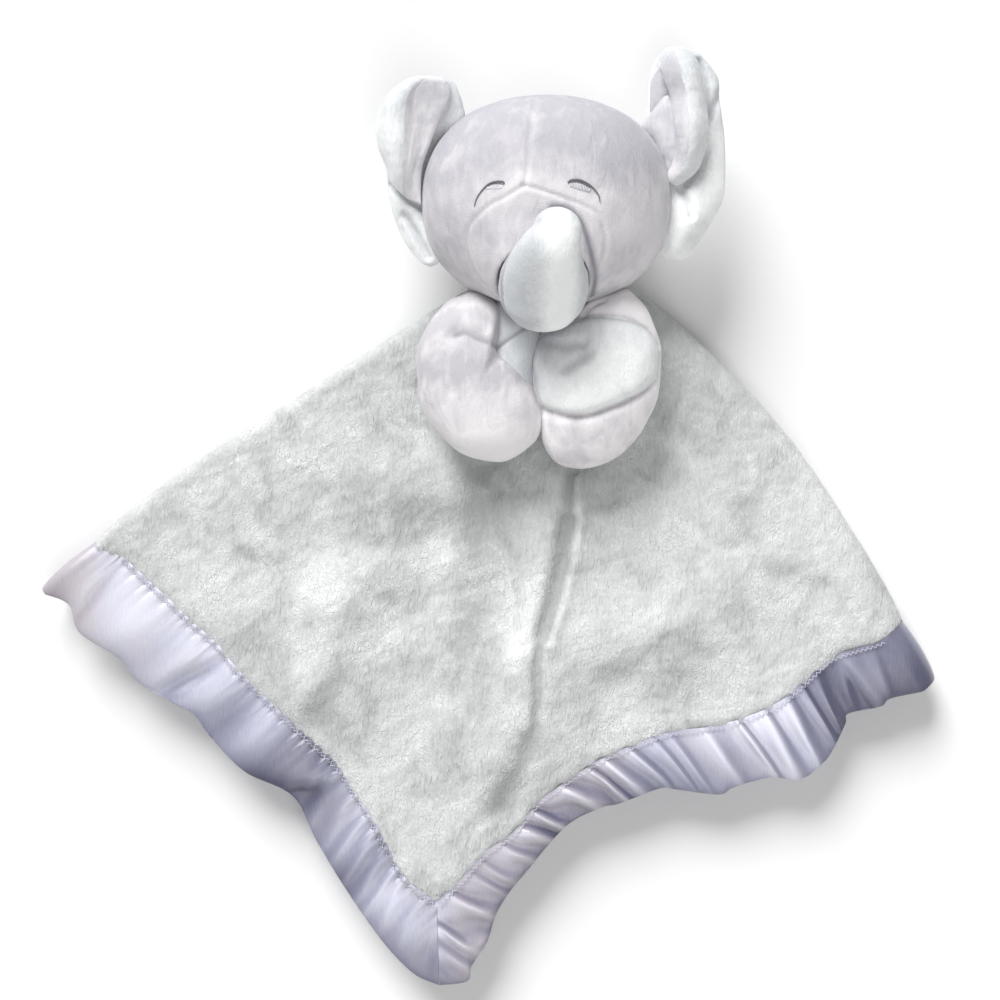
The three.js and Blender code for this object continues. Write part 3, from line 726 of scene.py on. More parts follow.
def side_share(value, arc, shrink):
    """The share of a quarter's side, counted from where the fold's arc ends."""
    size = np.abs(value)
    inside = np.maximum(size - arc, 0) / (BOUND - arc) * BOUND
    return np.where(size < BOUND, inside, size) * shrink


def blanket_point(p, q, height):
    """The folded place of (p, q), at a height above the middle of the cloth."""
    left_turn, right_turn = fold_turn(p, LEFT_ARC), fold_turn(q, RIGHT_ARC)
    hidden = 1 - ramp(p, -0.12, 0) * ramp(q, -0.16, 0)
    shrink = 1 - UNDER_INSET / HALF * hidden
    a, b = side_share(p, LEFT_ARC, shrink), side_share(q, RIGHT_ARC, shrink)
    flat = quarter_point(a, b)
    level = LAYER_RADIUS + np.sin(left_turn) * (INNER_FOLD + height)
    reach = np.cos(left_turn) * (INNER_FOLD + height)
    flat = flat + LEFT_NORMAL * reach[:, None]
    flat = flat + RIGHT_NORMAL * (np.cos(right_turn) * level)[:, None]
    fade = np.minimum(a / 0.1, 1) * np.minimum(b / 0.1, 1)
    fade = fade * ramp(np.maximum(a, b), 1.02, 0.88) * (frontness(p, q) > 0.9999)
    z = STACK_MIDDLE + np.sin(right_turn) * level
    moved = fade > 0
    z[moved] += fade[moved] * front_lift(flat[moved], a[moved], b[moved])
    return gathered(np.column_stack([flat, z]))


NECK_HOLE = np.array([15.5, 99.5])
NECK_HOLE_SIZE = np.array([47.0, 31.5])
NECK = np.array([15.5, 69.5, 9.3])
NECK_RADIUS = 9.0
SEWN_HEIGHT = 9.0
SEWN_REACH = 7


def hole_distance(points):
    """How far outside the neck's opening each point lies, in millimetres."""
    scaled = (points[:, :2] - NECK_HOLE) / NECK_HOLE_SIZE
    opening = (np.linalg.norm(scaled, axis=1) - 1) * NECK_HOLE_SIZE.min()
    beside_neck = distance(points[:, :2], NECK[:2]) - NECK_RADIUS - 0.6
    return np.minimum(opening, beside_neck)


def gathered(points):
    """All layers are sewn together round the neck."""
    pinch = np.clip(1 - hole_distance(points) / SEWN_REACH, 0, 1) ** 2
    points[:, 2] += (SEWN_HEIGHT - points[:, 2]) * pinch * 0.9
    return points


# %% [markdown]
# The sheet's grid lines lie close together on the front quarter and round the folds, and
# wider apart where the cloth is hidden.

# %%
# Millimetres between grid lines, where the cloth is hidden and in front.
COVER_SPACING = 2.8, 0.95
LINING_SPACING = 5.0, 5.0
LINING_HEIGHT = -1.7
PILE_EDGE = 2.2
FOLD_ROWS = 11


def grid_lines(arc, limit, coarse, fine):
    """Places across the sheet: coarse where it is hidden, close round the fold, then fine."""
    hidden = np.arange(-limit, -arc, coarse / HALF)
    turn = np.linspace(-arc, arc, FOLD_ROWS)
    front = np.linspace(arc, limit, int((limit - arc) * HALF / fine))
    return np.concatenate([hidden, turn, front[1:]])


def blanket_shade(points):
    """Painted shade in the valley and dimples, painted light on the ridges and towards the lower
    corner, and the plush's painted sheen and shade.
    """
    flat = points[:, :2]
    shade = 0.3 * marked(flat, THIN_RIDGE, 1.6, RIDGE_HEIGHT)
    shade += 0.24 * marked(flat, LEFT_RIDGE, 4.5, RIDGE_HEIGHT)
    valley = [
        shade_darkness * marked(flat, line, width, VALLEY_HEIGHT)
        for line, _, width, shade_darkness in VALLEY
    ]
    shade -= np.max(valley, axis=0)
    for line in DIMPLES:
        shade -= 0.2 * marked(flat, line, 4.5, VALLEY_HEIGHT)
    for line, width, tone in PLUSH_LIGHT_AND_SHADE:
        shade += tone * marked(flat, line, width, VALLEY_HEIGHT)
    return shade + 0.1 * np.clip(-flat[:, 1] / 130, -0.6, 1) - 0.1


def pile_height(p, q):
    """The plush stands up away from the seams, and lies in small tufts."""
    inward = (BOUND - np.maximum(np.abs(p), np.abs(q))) * HALF
    front = frontness(p, q)
    rise = 1 - np.exp(-np.maximum(inward, 0) / PILE_EDGE)
    pile = 0.5 + (0.9 + 0.6 * front) * rise + 0.5 * np.minimum(inward, 0)
    place = np.column_stack([p, q, np.zeros(len(p))]) * HALF
    tufts = 0.3 * rough(place * (1, 0.7, 1), 4.6, 4) + 0.2 * rough(place * (1, 0.55, 1), 1.9, 5)
    return pile + tufts * np.clip(inward / 2, 0, 1) * (0.15 + 0.85 * front)


def lining_height(p, q):
    return np.full(len(p), LINING_HEIGHT)


def blanket_layer(name, spacing, height_of, material, node):
    """A layer of the folded sheet, with the neck's opening cut out."""
    p_lines, q_lines = (grid_lines(arc, BOUND + 0.02, *spacing) for arc in (LEFT_ARC, RIGHT_ARC))

    def place(u, v):
        p, q = pick(p_lines, u), pick(q_lines, v)
        points = blanket_point(p, q, height_of(p, q))
        return points, blanket_shade(points)

    bm = bmesh.new()
    add_grid(bm, len(p_lines) - 1, len(q_lines) - 1, place)
    gaps = hole_distance(np.array([v.co for v in bm.verts]) / MILLIMETRE)
    inside = [vert for vert, gap in zip(bm.verts, gaps) if gap < 0]
    bmesh.ops.delete(bm, geom=inside, context="VERTS")
    layer = finish_mesh(name, bm, "blanket", material)
    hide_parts(node)
    return layer


blanket = blanket_layer(
    "blanket_plush", COVER_SPACING, pile_height, PLUSH, "blanket_face"
)
lining = blanket_layer(
    "blanket_lining", LINING_SPACING, lining_height, BACKING, "blanket_backing"
)

# %% [markdown]
# ## The satin binding
#
# Each side's binding is a strip of a puffed lens section. Along the lower right border it is
# gathered into slanting pleats, and along the lower left it lies in a few broad waves.

# %%
MITRE_GAP = 0.0003
STRIP_ROWS = 27


def wobble(along, seed):
    """An uneven but smooth sequence along a strip."""
    slow = 0.5 * np.sin(along * 0.37 + seed) + 0.3 * np.sin(along * 0.83 + 2 * seed)
    return slow + 0.2 * np.sin(along * 1.7 + 3)


def ridge(value, sharpness=1.5):
    """A wave with pointed crests and broad troughs, from 0 to 1, once for each whole number."""
    return (0.5 + 0.5 * np.cos(2 * math.pi * value)) ** sharpness


def step(value, width):
    """Falls smoothly from a half to minus a half."""
    return 1 / (1 + np.exp(np.clip(value / width, -40, 40))) - 0.5


# Along each front strip, in even steps: how strong the pleats are, and how light or dark the
# satin's painted reflections and shade are.
PLEAT_STRENGTHS = [
    0.05, 0.05, 0.25, 0.6, 0.9, 1.1, 0.8, 0.35, 0.8, 1.2, 1.2, 1.1, 0.55, 0.4, 1.0, 0.6, 0.2,
]
RIGHT_REFLECTIONS_AND_SHADE = [
    -0.4, -0.41, -0.32, -0.37, 0.18, 0.38, 0.23, 0.08, 0.08, 0.07, 0, -0.05, 0.03, -0.06,
    0.05, 0.1, -0.1,
]
LEFT_REFLECTIONS_AND_SHADE = [
    0.06, 0.33, 0.31, 0.35, 0.38, 0.42, 0.13, 0.2, -0.3, -0.38, 0.1, 0.12, -0.14, 0.16, 0.02,
    0, 0,
]
PLEAT_SPACING = 8.4
# Where each front strip has one fold laid over the next, in millimetres from its corner.
RIGHT_STEP = 27
LEFT_STEP = 117


def pleats(along, out):
    """Heights of the gathered border: along in millimetres from the right corner."""
    strength = smooth(PLEAT_STRENGTHS, along / HALF)
    inner = np.clip(out, 0, 1)
    slant = np.interp(along, [30, 170], [4, -7])
    pace = (along - slant * out) / PLEAT_SPACING + 0.5 * wobble(along / 3.2, 1.0)
    split = ridge(pace * 2 + 0.3) * 0.45 * np.clip(1 - 1.6 * inner, 0, 1)
    wave = ridge(pace, 1.7) + split
    height = strength * (3.0 * wave - 1.2) * (0.4 + 0.6 * np.sin(math.pi * inner**0.8))
    overlap = step(along - RIGHT_STEP + 2 * out, 0.6) * bell(along - RIGHT_STEP, 12)
    return height + 2.0 * overlap


def waves(along, out):
    """Heights of the smooth border: along in millimetres from the left corner."""
    inner = np.clip(out, 0, 1)
    broad = 1.1 * wobble(along / 5.0, 2.0) + 1.3 * bell(along - 30, 10)
    broad -= 2.6 * bell(along + 4 * out - 62, 4.5) + 1.6 * bell(along - 78, 8)
    broad -= 1.4 * bell(along - 6 * out - 12, 3)
    overlap = step(along - LEFT_STEP + 9 * (out - 0.5), 0.9) * bell(along - LEFT_STEP, 16)
    broad += 3.0 * overlap
    turns = along / 4.3 + 0.5 * wobble(along / 2, 4.0)
    pucker = 0.6 * np.cos(2 * math.pi * turns) * np.exp(-inner * 5)
    crease = 0.8 * ridge(along / 7.5 - out + 0.3 * wobble(along / 3, 6.0))
    crease = crease * bell(along - 150, 26)
    return broad * np.sin(math.pi * inner * 0.8 + 0.15) + pucker + crease


def calm(along, out):
    return 0 * along


def strip_shade(painted_tones, ripple, out, travel, lift):
    """Painted reflections and shade along the strip, painted shade towards its edge, and painted
    light and shade on the ripples' crests and sides.
    """
    slope = (ripple(travel + 0.9, out) - ripple(travel - 0.9, out)) / 1.8
    tone = smooth(painted_tones, travel / HALF) + 0.06 - 0.3 * np.clip(out, 0, 1) ** 2
    return tone + 0.17 * np.clip(lift, -2, 2) - 0.4 * np.clip(slope, -1, 1)


def strip_point(swap, sign, ripple, out, along, side):
    """A place on a strip: out from seam to edge, along the side, and which face of it."""
    across = BOUND + (1 - BOUND) * np.clip(out, -0.06, 1)
    limit = np.clip(across, BOUND, 1) - MITRE_GAP
    along = np.clip(along, -limit, limit)
    body = 1.1 + 0.7 * np.sin(math.pi * np.clip(out, 0, 1) ** 0.9)
    edge = np.sqrt(np.maximum(1 - np.clip(out, 0, 1) ** 9, 0))
    travel = np.abs(along) * HALF
    turned = np.where(along > 0, ramp(travel, 0, 6), 0)
    lift = turned * ripple(travel, out)
    fade = np.clip((limit - np.abs(along)) * HALF / 4, 0.15, 1)
    moved = np.where(side > 0, lift, 0.6 * np.maximum(lift, 0))
    height = side * body * edge + moved * fade * edge**0.3
    p, q = (along, sign * across) if swap else (sign * across, along)
    shade = strip_shade(LEFT_REFLECTIONS_AND_SHADE if swap else RIGHT_REFLECTIONS_AND_SHADE, ripple, out, travel, lift)
    return blanket_point(p, q, height), turned * shade


def strip_lines(fine, coarse=3.0, turn=0.05):
    """Places along a strip: coarse where it is hidden, close round the fold, then fine."""
    limit = 1 - MITRE_GAP
    hidden = np.linspace(-limit, -turn, int((1 - turn) * HALF / coarse))
    front = np.linspace(turn, limit, int((1 - turn) * HALF / fine))
    return np.concatenate([hidden, np.linspace(-turn, turn, 16)[1:-1], front])


def make_binding(name, swap, sign, ripple, fine):
    """One side's strip: its top face out to the edge, and its under face back."""
    lines = strip_lines(fine)
    top = (1 - np.cos(np.linspace(0, math.pi, STRIP_ROWS))) / 2
    outs = np.concatenate([-0.05 + 1.05 * top, (1.0 - top)[1::2]])
    sides = np.where(np.arange(len(outs)) < STRIP_ROWS, 1.0, -1.0)

    def place(u, v):
        return strip_point(swap, sign, ripple, pick(outs, u), pick(lines, v), pick(sides, u))

    columns, rows = len(outs) - 1, len(lines) - 1
    strip = make_grid("satin_" + name, columns, rows, place, "blanket", SATIN)
    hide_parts("binding_" + name)
    return strip


strips = [
    make_binding("right", False, 1, pleats, fine=0.6),
    make_binding("left", True, 1, waves, fine=0.8),
    make_binding("under_right", False, -1, calm, fine=2.5),
    make_binding("under_left", True, -1, calm, fine=2.5),
]

# %% [markdown]
# A zigzag of thread holds the satin's edge on the plush.

# %%
STITCH_LENGTH = 0.8
STITCH_RADIUS = 0.14
STITCH_WELD = 0.00001


def stitch_path(swap, ripple):
    """Zigzag points along a front seam, three to each stitch."""
    count = int(0.82 * HALF / STITCH_LENGTH) * 3
    along = np.linspace(0.06, BOUND - 0.004, count)
    swing = np.abs(((np.arange(count) / 3) % 2) - 1)
    out = -0.02 + 0.05 * swing
    across = BOUND + (1 - BOUND) * out
    height = 2.0 + 0.8 * ripple(along * HALF, np.maximum(out, 0))
    p, q = (along, across) if swap else (across, along)
    return blanket_point(p, q, height)


def make_stitches(side, swap, ripple):
    bm = bmesh.new()
    add_tube(bm, stitch_path(swap, ripple), STITCH_RADIUS, 5)
    made = finish_mesh("seam_stitches_" + side, bm, "blanket", SEAM_THREAD, STITCH_WELD)
    return made


stitches = [make_stitches("right", False, pleats), make_stitches("left", True, waves)]

# %% [markdown]
# ## The head
#
# The head is a slightly squared ball, joined softly to a rounder muzzle. Lines read off the
# picture are dropped onto it along the camera's rays, and its seams are grooves along them.

# %%
HEAD_FILL = 0.9
NECK_GATHERS = 14
NECK_GATHER = 0.25
HEAD = np.array([15.3, 98.9, 30.8])
HEAD_RADII = np.array([41.4, 34.9, 30.3])
ROUNDNESS = 2.2
MUZZLE = np.array([12.5, 82.0, 43.0])
MUZZLE_RADII = np.array([23.5, 19.5, 17.5])
JOIN = 1.6  # How softly the head and muzzle run together, in millimetres.
TRUNK_BASE = np.array([14.0, 68.5, 53.8])
TRUNK_WIDTH = 29.0
HEAD_SEAMS = [
    [(534, 99), (530, 130), (527, 171), (524, 186)],
    [
        (524, 186), (540, 190), (563, 198), (584, 206), (598, 215), (605, 233), (605, 252),
        (597, 270),
    ],
    [
        (524, 186), (506, 197), (489, 206), (471, 224), (467, 240), (470, 261), (477, 275),
        (494, 295),
    ],
    [(522, 249), (506, 262), (497, 279), (499, 293)],
]
# The painted shadow line between the trunk and the face.
TRUNK_SHADOW = [
    (552, 207), (562, 207), (572, 212), (581, 222), (587, 238), (592, 258), (595, 277), (592, 296),
]
BACK_SEAM = np.array(
    [[15.5, 134, 24], [15.5, 126, 10], [15.5, 112, 3], [15.5, 99.5, 0.6], [15.5, 82, 4]]
)
# Painted light and shade on the face: a place, its size, and how much lighter or darker it is
# painted.
HEAD_LIGHT_AND_SHADE = [
    ([8, 99, 61], 9, 0.3), ([22, 96, 60], 9, 0.3), ([0, 84, 56], 11, -0.06),
    ([30, 88, 56], 9, 0.2), ([44, 88, 44], 18, 0.45), ([-14, 86, 42], 17, -0.2),
    ([20, 128, 42], 16, -0.12), ([2, 112, 54], 14, 0.2), ([34, 112, 52], 13, -0.2),
]


def head_reach(directions):
    """How far the head's surface is from its centre, in each direction."""
    skull = (np.abs(directions / HEAD_RADII) ** ROUNDNESS).sum(1) ** (-1 / ROUNDNESS)
    ray = directions / MUZZLE_RADII
    centre = (MUZZLE - HEAD) / MUZZLE_RADII
    along, size = ray @ centre, (ray**2).sum(1)
    inside = along**2 - size * (centre @ centre - 1)
    muzzle = np.where(inside > 0, (along + np.sqrt(np.maximum(inside, 0))) / size, 0)
    return JOIN * np.logaddexp(skull / JOIN, muzzle / JOIN)


def head_surface(directions):
    return HEAD + directions * head_reach(directions)[:, None]


def lookup(detail, surface):
    """A tree for ray casts onto a ball-like surface."""
    bm = bmesh.new()
    add_ball(bm, detail, surface)
    tree = BVHTree.FromBMesh(bm)
    bm.free()
    return tree


def camera_hit(tree, spot):
    """Where the camera's ray to a spot on the table first meets a surface."""
    eye = Vector((0, 0, CAMERA_HEIGHT)) * MILLIMETRE
    foot = Vector((*spot, 0)) * MILLIMETRE
    return tree.ray_cast(eye, (foot - eye).normalized())


def drop(tree, line, lift=0.0, count=40):
    """Drops a line read off the picture onto a surface, along the camera's rays."""
    spots = []
    for spot in plan(smooth(line, np.linspace(0, 1, count)), 0):
        hit, normal, _, _ = camera_hit(tree, spot)
        if hit is not None:
            spots.append(np.array(hit) / MILLIMETRE + np.array(normal) * lift)
    return np.array(spots)


def pocket(points, centre, radius):
    """Presses the head's surface in to clear a ball."""
    inward = HEAD - centre
    inward = inward / np.linalg.norm(inward)
    inside = distance(points, centre) < radius
    offset = points[inside] - centre
    along = offset @ inward
    reach = np.sqrt(along**2 + radius**2 - (offset**2).sum(1)) - along
    points[inside] += reach[:, None] * inward
    return points


head_tree = lookup(LOOKUP_BALL, head_surface)
head_lines = [*(drop(head_tree, line) for line in HEAD_SEAMS), BACK_SEAM]
trunk_shadow_line = drop(head_tree, TRUNK_SHADOW)


def head_place(directions):
    """The head's skin: seams, painted light and shade, and the pockets of the neck and trunk."""
    points = head_surface(directions)
    seam = 0.25 * rough(points, 14, 6)
    # A dark painted shadow along the edge of the trunk.
    shade = -1.5 * groove(points, trunk_shadow_line, 1.4)
    # Painted light along each seam, and painted shade in its groove.
    for line in head_lines:
        seam += 0.22 * groove(points, line, 4.0) - 0.5 * groove(points, line, 0.8)
        shade += 0.22 * groove(points, line, 3.2) - 0.12 * groove(points, line, 0.7)
    for place, size, value in HEAD_LIGHT_AND_SHADE:
        shade += value * bell(distance(points, place), size)
    # Painted light towards the chin, painted shade towards the top of the head and round its
    # sides.
    shade += 0.22 * ramp(points[:, 1], 94, 72) - 0.4 * ramp(points[:, 1], 98, 116)
    shade -= 0.16 * np.clip(0.6 - np.abs(directions[:, 2]), 0, 1)
    points += directions * seam[:, None]
    points = pocket(points, NECK, NECK_RADIUS + 0.4)
    return pocket(points, TRUNK_BASE, TRUNK_WIDTH / 2 + 0.9), shade


def stand_in(piece, slot, fill, *nodes):
    """Hides the CAD nodes that a stuffed piece stands for; its material slot and how full it is
    are not used.
    """
    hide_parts(*nodes)
    return piece


head = make_ball("head_skin", FINE_BALL, head_place, "head", VELOUR)
stand_in(
    head, "velour", HEAD_FILL, "head_side_left", "head_side_right", "head_muzzle", "head_filling"
)


def neck_place(directions):
    """A ball with soft gathers round it."""
    turn = np.arctan2(directions[:, 2], directions[:, 0])
    gathers = NECK_GATHER * (np.cos(NECK_GATHERS * turn) - 1)
    return NECK + directions * (NECK_RADIUS + gathers)[:, None]


neck = make_ball("neck_ball", NECK_BALL, neck_place, "neck", VELOUR)
stand_in(neck, "velour", HEAD_FILL, "neck")

# %% [markdown]
# The closed eyes are embroidered: a dark line, and slanting pale stitches under its thick part.

# %%
EYE_SHARES = [0, 0.35, 0.6, 1]
EYE_RADII = [0.16, 0.26, 0.36, 0.28]
EYE_CORD = 0.26
EYE_STITCH = 0.22
EYE_STITCHES = 14
# Each eye's outer line, the feet of its pale stitches, and the line of their tops.
EYES = {
    "eye_left": (
        [
            (475, 206.5), (477, 199), (482, 191), (489, 184.5), (496, 181.8), (503, 181.8),
            (504.5, 184),
        ],
        [(486, 189.5), (490, 188.8), (496, 189.2), (501, 188)],
        [(488, 186.5), (494, 184), (501, 184), (503.5, 185)],
    ),
    "eye_right": (
        [
            (599.5, 202), (598, 195), (592, 187.5), (585, 182.5), (578, 180), (571, 180.2),
            (567.5, 183),
        ],
        [(589, 191), (583, 190), (577, 188.5), (570, 186)],
        [(590, 188), (583, 184), (576, 182), (569, 183)],
    ),
}


def make_eye(name, outer, inner, middle):
    """The dark line, a second one along its thick part, and the pale stitches under it."""
    bm = bmesh.new()
    line = drop(head_tree, outer, 0.3, 60)
    taper = np.interp(np.linspace(0, 1, len(line)), EYE_SHARES, EYE_RADII)
    add_tube(bm, line, taper, 8)
    add_tube(bm, drop(head_tree, middle, 0.15, 30), EYE_CORD, 8)
    lashes = finish_mesh(name + "_line", bm, "head", DARK_THREAD, FINE_WELD)
    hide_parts(name)
    bm = bmesh.new()
    tops = smooth(middle, np.linspace(0, 0.95, EYE_STITCHES))
    feet = smooth(inner, np.linspace(0.05, 1, EYE_STITCHES)) + (0, 0.8)
    for top, foot in zip(tops, feet):
        add_tube(bm, drop(head_tree, [top, foot], 0.15, 6), EYE_STITCH, 6)
    stitches = finish_mesh(name + "_stitches", bm, "head", PALE_THREAD, FINE_WELD)


for name, lines in EYES.items():
    make_eye(name, *lines)

# %% [markdown]
# ## The trunk
#
# The trunk is a form swept along a path: rings square to the path, with their own width and
# depth, and rounded ends. Its underside is plush, and that is what shows.

# %%
TRUNK_LENGTH = 19.0
TRUNK_PATH = TRUNK_BASE + TRUNK_LENGTH * np.array(
    [[0, 0, 0], [0.04, 0.28, 0.5], [0.11, 0.54, 0.82], [0.18, 0.74, 0.93], [0.22, 0.88, 0.93]]
)
TRUNK_WIDTHS = TRUNK_WIDTH * np.array([1.0, 0.97, 0.85, 0.69, 0.53])
TRUNK_DEPTHS = TRUNK_WIDTH * np.array([1.0, 0.8, 0.62, 0.5, 0.42])
TRUNK_SEAM = np.array([0.5, -0.45, 0.74])
SEAM_OFFSET = -2
TRUNK_DIMPLE = np.array([[9, 82, 72], [12, 86, 74], [15.5, 85.5, 74], [14, 80, 75]])
CAP = 0.2


def trunk_shade(points):
    """Painted light along the middle, and painted shade to both sides, towards the face and in the
    dimple.
    """
    x, y = points[:, 0], points[:, 1]
    shade = 0.8 * bell(x - 19, 5) - 0.5 * ramp(x, 24, 27) - 0.7 * ramp(y, 86, 90) - 0.08
    return shade - 0.35 * groove(points, TRUNK_DIMPLE, 1.5) - 0.5 * ramp(x, 14, 6)


def trunk_place(u, v):
    """Rings round the path, which close over its two ends."""
    read = by_length(TRUNK_PATH)
    share = np.clip((v - CAP) / (1 - 2 * CAP), 0, 1)
    along = unit(read(np.minimum(share + 0.03, 1)) - read(np.maximum(share - 0.03, 0)))
    side = unit(np.cross(along, [0, 0, 1.0]))
    front = np.cross(side, along)
    ends = np.clip((v - (1 - CAP)) / CAP, 0, 1) - np.clip(1 - v / CAP, 0, 1)
    width, depth = smooth(TRUNK_WIDTHS, share) / 2, smooth(TRUNK_DEPTHS, share) / 2
    scale = np.cos(ends * math.pi / 2)
    push = (width + depth) / 2 * np.sin(ends * math.pi / 2)
    turn = 2 * math.pi * u
    offset = side * (width * scale * np.cos(turn))[:, None]
    offset += front * (depth * scale * np.sin(turn))[:, None]
    points = read(share) + along * push[:, None] + offset
    seam = bell((points - TRUNK_BASE) @ TRUNK_SEAM - SEAM_OFFSET, 1)
    press = 0.04 * seam + 0.12 * groove(points, TRUNK_DIMPLE, 1.5) - 0.02 * rough(points, 6, 7)
    return points - offset * press[:, None], trunk_shade(points)


def second_material(piece, material, test):
    """Gives the faces whose centres pass a test another material."""
    piece.data.materials.append(material)
    centres = np.empty(len(piece.data.polygons) * 3)
    piece.data.polygons.foreach_get("center", centres)
    chosen = test(centres.reshape(-1, 3) / MILLIMETRE).astype(np.int32)
    piece.data.polygons.foreach_set("material_index", chosen)


def outer_side(points):
    return (points - TRUNK_BASE) @ TRUNK_SEAM < SEAM_OFFSET


trunk = make_grid("trunk_skin", 96, 90, trunk_place, "trunk", LIMB_PLUSH)
second_material(trunk, VELOUR, outer_side)
stand_in(trunk, "plush", 0.8, "trunk_underside", "trunk_outer", "trunk_filling")

# %% [markdown]
# ## The arms
#
# An arm is a ball whose outline follows the picture. Grooves show where it bends. The left
# palm is a ball too, and the right one a patch of rings laid over the arm.

# %%
FULLNESS = 0.82  # Under 1, a form is squarer than a ball.
PALM_HEIGHT = 44
ARM_FILL = 0.8
PALM_FILL = 0.5
PALM_RINGS = 60
LEFT_ARM = [
    (472, 292), (460, 296), (447, 302), (430, 322), (419, 344), (416, 361), (417, 380),
    (419, 403), (430, 424), (446, 442), (462, 454), (481, 460), (501, 461.6), (515, 457),
    (527, 449), (537, 439), (542, 425), (542, 408), (535, 390), (523, 373), (510, 361),
    (500, 352), (500, 325), (498, 306), (486, 296),
]
RIGHT_ARM = [
    (570.6, 319), (588, 302.7), (606, 296), (624.7, 288.4), (636.5, 297), (646.7, 308.7),
    (653.4, 323.9), (658.5, 340.8), (661, 357.7), (659.5, 379.6), (656.8, 400), (648, 420),
    (636.5, 438.8), (621, 454), (604.4, 464), (582.5, 468.4), (562, 465.8), (550, 456),
    (542, 440), (539, 415), (533, 395), (530, 366), (533, 346), (542, 333), (556, 325),
]
LEFT_PALM = [
    (497, 300), (513, 300), (527, 308), (539, 322), (541, 340), (537, 357), (535, 374),
    (535, 390), (537, 404), (540, 417), (539, 430), (531, 436), (515, 424), (500, 398),
    (490, 365), (488, 330),
]
RIGHT_PALM = [
    (538.5, 337), (555, 329), (570.6, 322.5), (590.9, 317), (607.8, 317), (624.7, 319),
    (640, 324), (652, 333), (659.5, 346), (660.5, 361), (657, 379), (645, 391), (626, 400.5),
    (607.8, 407), (592.6, 413), (574, 415), (557, 412), (543, 408), (536, 394), (531.5, 366),
    (533, 348),
]
LEFT_CREASES = [[(455, 334), (466, 332), (478, 338), (495, 344), (500, 350)]]
RIGHT_CREASES = [
    [(584, 316), (592, 307), (602, 302)],
    [
        (655, 380), (641, 393), (624, 403), (607, 410), (590, 416), (572, 418), (555, 415),
        (541, 409),
    ],
    [(560, 324), (590, 314), (622, 315), (645, 325), (658, 345)],
]
LEFT_PALM_CREASES = [[(498, 346), (510, 338), (524, 328)]]
RIGHT_PALM_CREASES = [[(545, 341), (565, 346), (582, 344)], [(588, 355), (577, 362), (566, 370)]]
# Painted light on the arms: a line, its width in millimetres and its tone.
LEFT_ARM_PAINTED_LIGHT = [
    ([(466, 322), (488, 332)], 3, 0.35), ([(505, 365), (525, 390)], 3, 0.25),
    ([(470, 298), (490, 308)], 4, 0.6),
]
RIGHT_ARM_PAINTED_LIGHT = [([(598, 309), (625, 303), (645, 312)], 4, 0.7)]


def closed(units, count=240):
    """A smooth closed outline through places read off the picture."""
    loop = [units[-1], *units, units[0], units[1]]
    last = len(loop) - 1
    return smooth(loop, np.linspace(1 / last, (last - 1) / last, count, endpoint=False))


def puff(units, centre, low, high):
    """A stuffed form with a measured outline, rounding off to its top and bottom."""
    middle_height = (low + high) / 2
    middle = plan([centre], middle_height)[0]
    offset = plan(closed(units), middle_height) - middle
    angles = np.arctan2(offset[:, 1], offset[:, 0])
    reach = np.linalg.norm(offset, axis=1)
    order = np.argsort(angles)

    def place(directions):
        turn = np.arctan2(directions[:, 1], directions[:, 0])
        flat = np.hypot(directions[:, 0], directions[:, 1]) ** FULLNESS
        radius = np.interp(turn, angles[order], reach[order], period=2 * math.pi) * flat
        up = np.sign(directions[:, 2]) * np.abs(directions[:, 2]) ** FULLNESS
        x, y = middle[0] + radius * np.cos(turn), middle[1] + radius * np.sin(turn)
        return np.column_stack([x, y, middle_height + (high - low) / 2 * up])

    return place


def creased(place, lines, depth, width, tone, slope=0, painted_light=()):
    """The same form with grooves along lines read off the picture, and with its painted light and
    shade.

    The slope paints it paler for each millimetre towards the hand, the tone paints all of it
    lighter or darker, the given lines add painted light, and the grooves and its left side get
    painted shade.
    """
    tree = lookup(LOOKUP_BALL, place)
    dropped = [drop(tree, line) for line in lines]
    painted_light_lines = [(drop(tree, line), size, value) for line, size, value in painted_light]

    def pressed(directions):
        points = place(directions)
        press = 0.3 * rough(points, 9, 8)
        shade = tone + np.maximum(slope * (38 - points[:, 1]), -0.15)
        shade -= 0.3 * np.clip(-directions[:, 0] - 0.6, 0, 0.4)
        for line in dropped:
            press += depth * groove(points, line, width) - 0.5 * groove(points, line, 3 * width)
            shade -= 0.55 * groove(points, line, 0.5 * width)
        for line, size, value in painted_light_lines:
            shade += value * groove(points, line, size)
        return points - directions * press[:, None], shade

    return pressed


left_arm_form = creased(
    puff(LEFT_ARM, (480, 384), low=16.6, high=45), LEFT_CREASES, depth=1.4, width=2.4,
    tone=-0.3, slope=0.045, painted_light=LEFT_ARM_PAINTED_LIGHT,
)
right_arm_form = creased(
    puff(RIGHT_ARM, (598, 384), low=16.6, high=43.5), RIGHT_CREASES, depth=1.2, width=1.6,
    tone=0.3, painted_light=RIGHT_ARM_PAINTED_LIGHT,
)
# The left palm's tone of -0.5 is painted shade, for where it lies deep between the arms and the
# trunk.
left_palm_form = creased(
    puff(LEFT_PALM, (512, 370), low=18, high=39), LEFT_PALM_CREASES, depth=0.9, width=1.4,
    tone=-0.5,
)


def on_tree(tree, spots):
    """Each place read off the picture, dropped onto a surface; misses take the last hit."""
    points, last = [], None
    for spot in plan(spots, 0):
        hit = camera_hit(tree, spot)[0]
        last = np.array(hit) / MILLIMETRE if hit is not None else last
        points.append(last)
    return np.array(points)


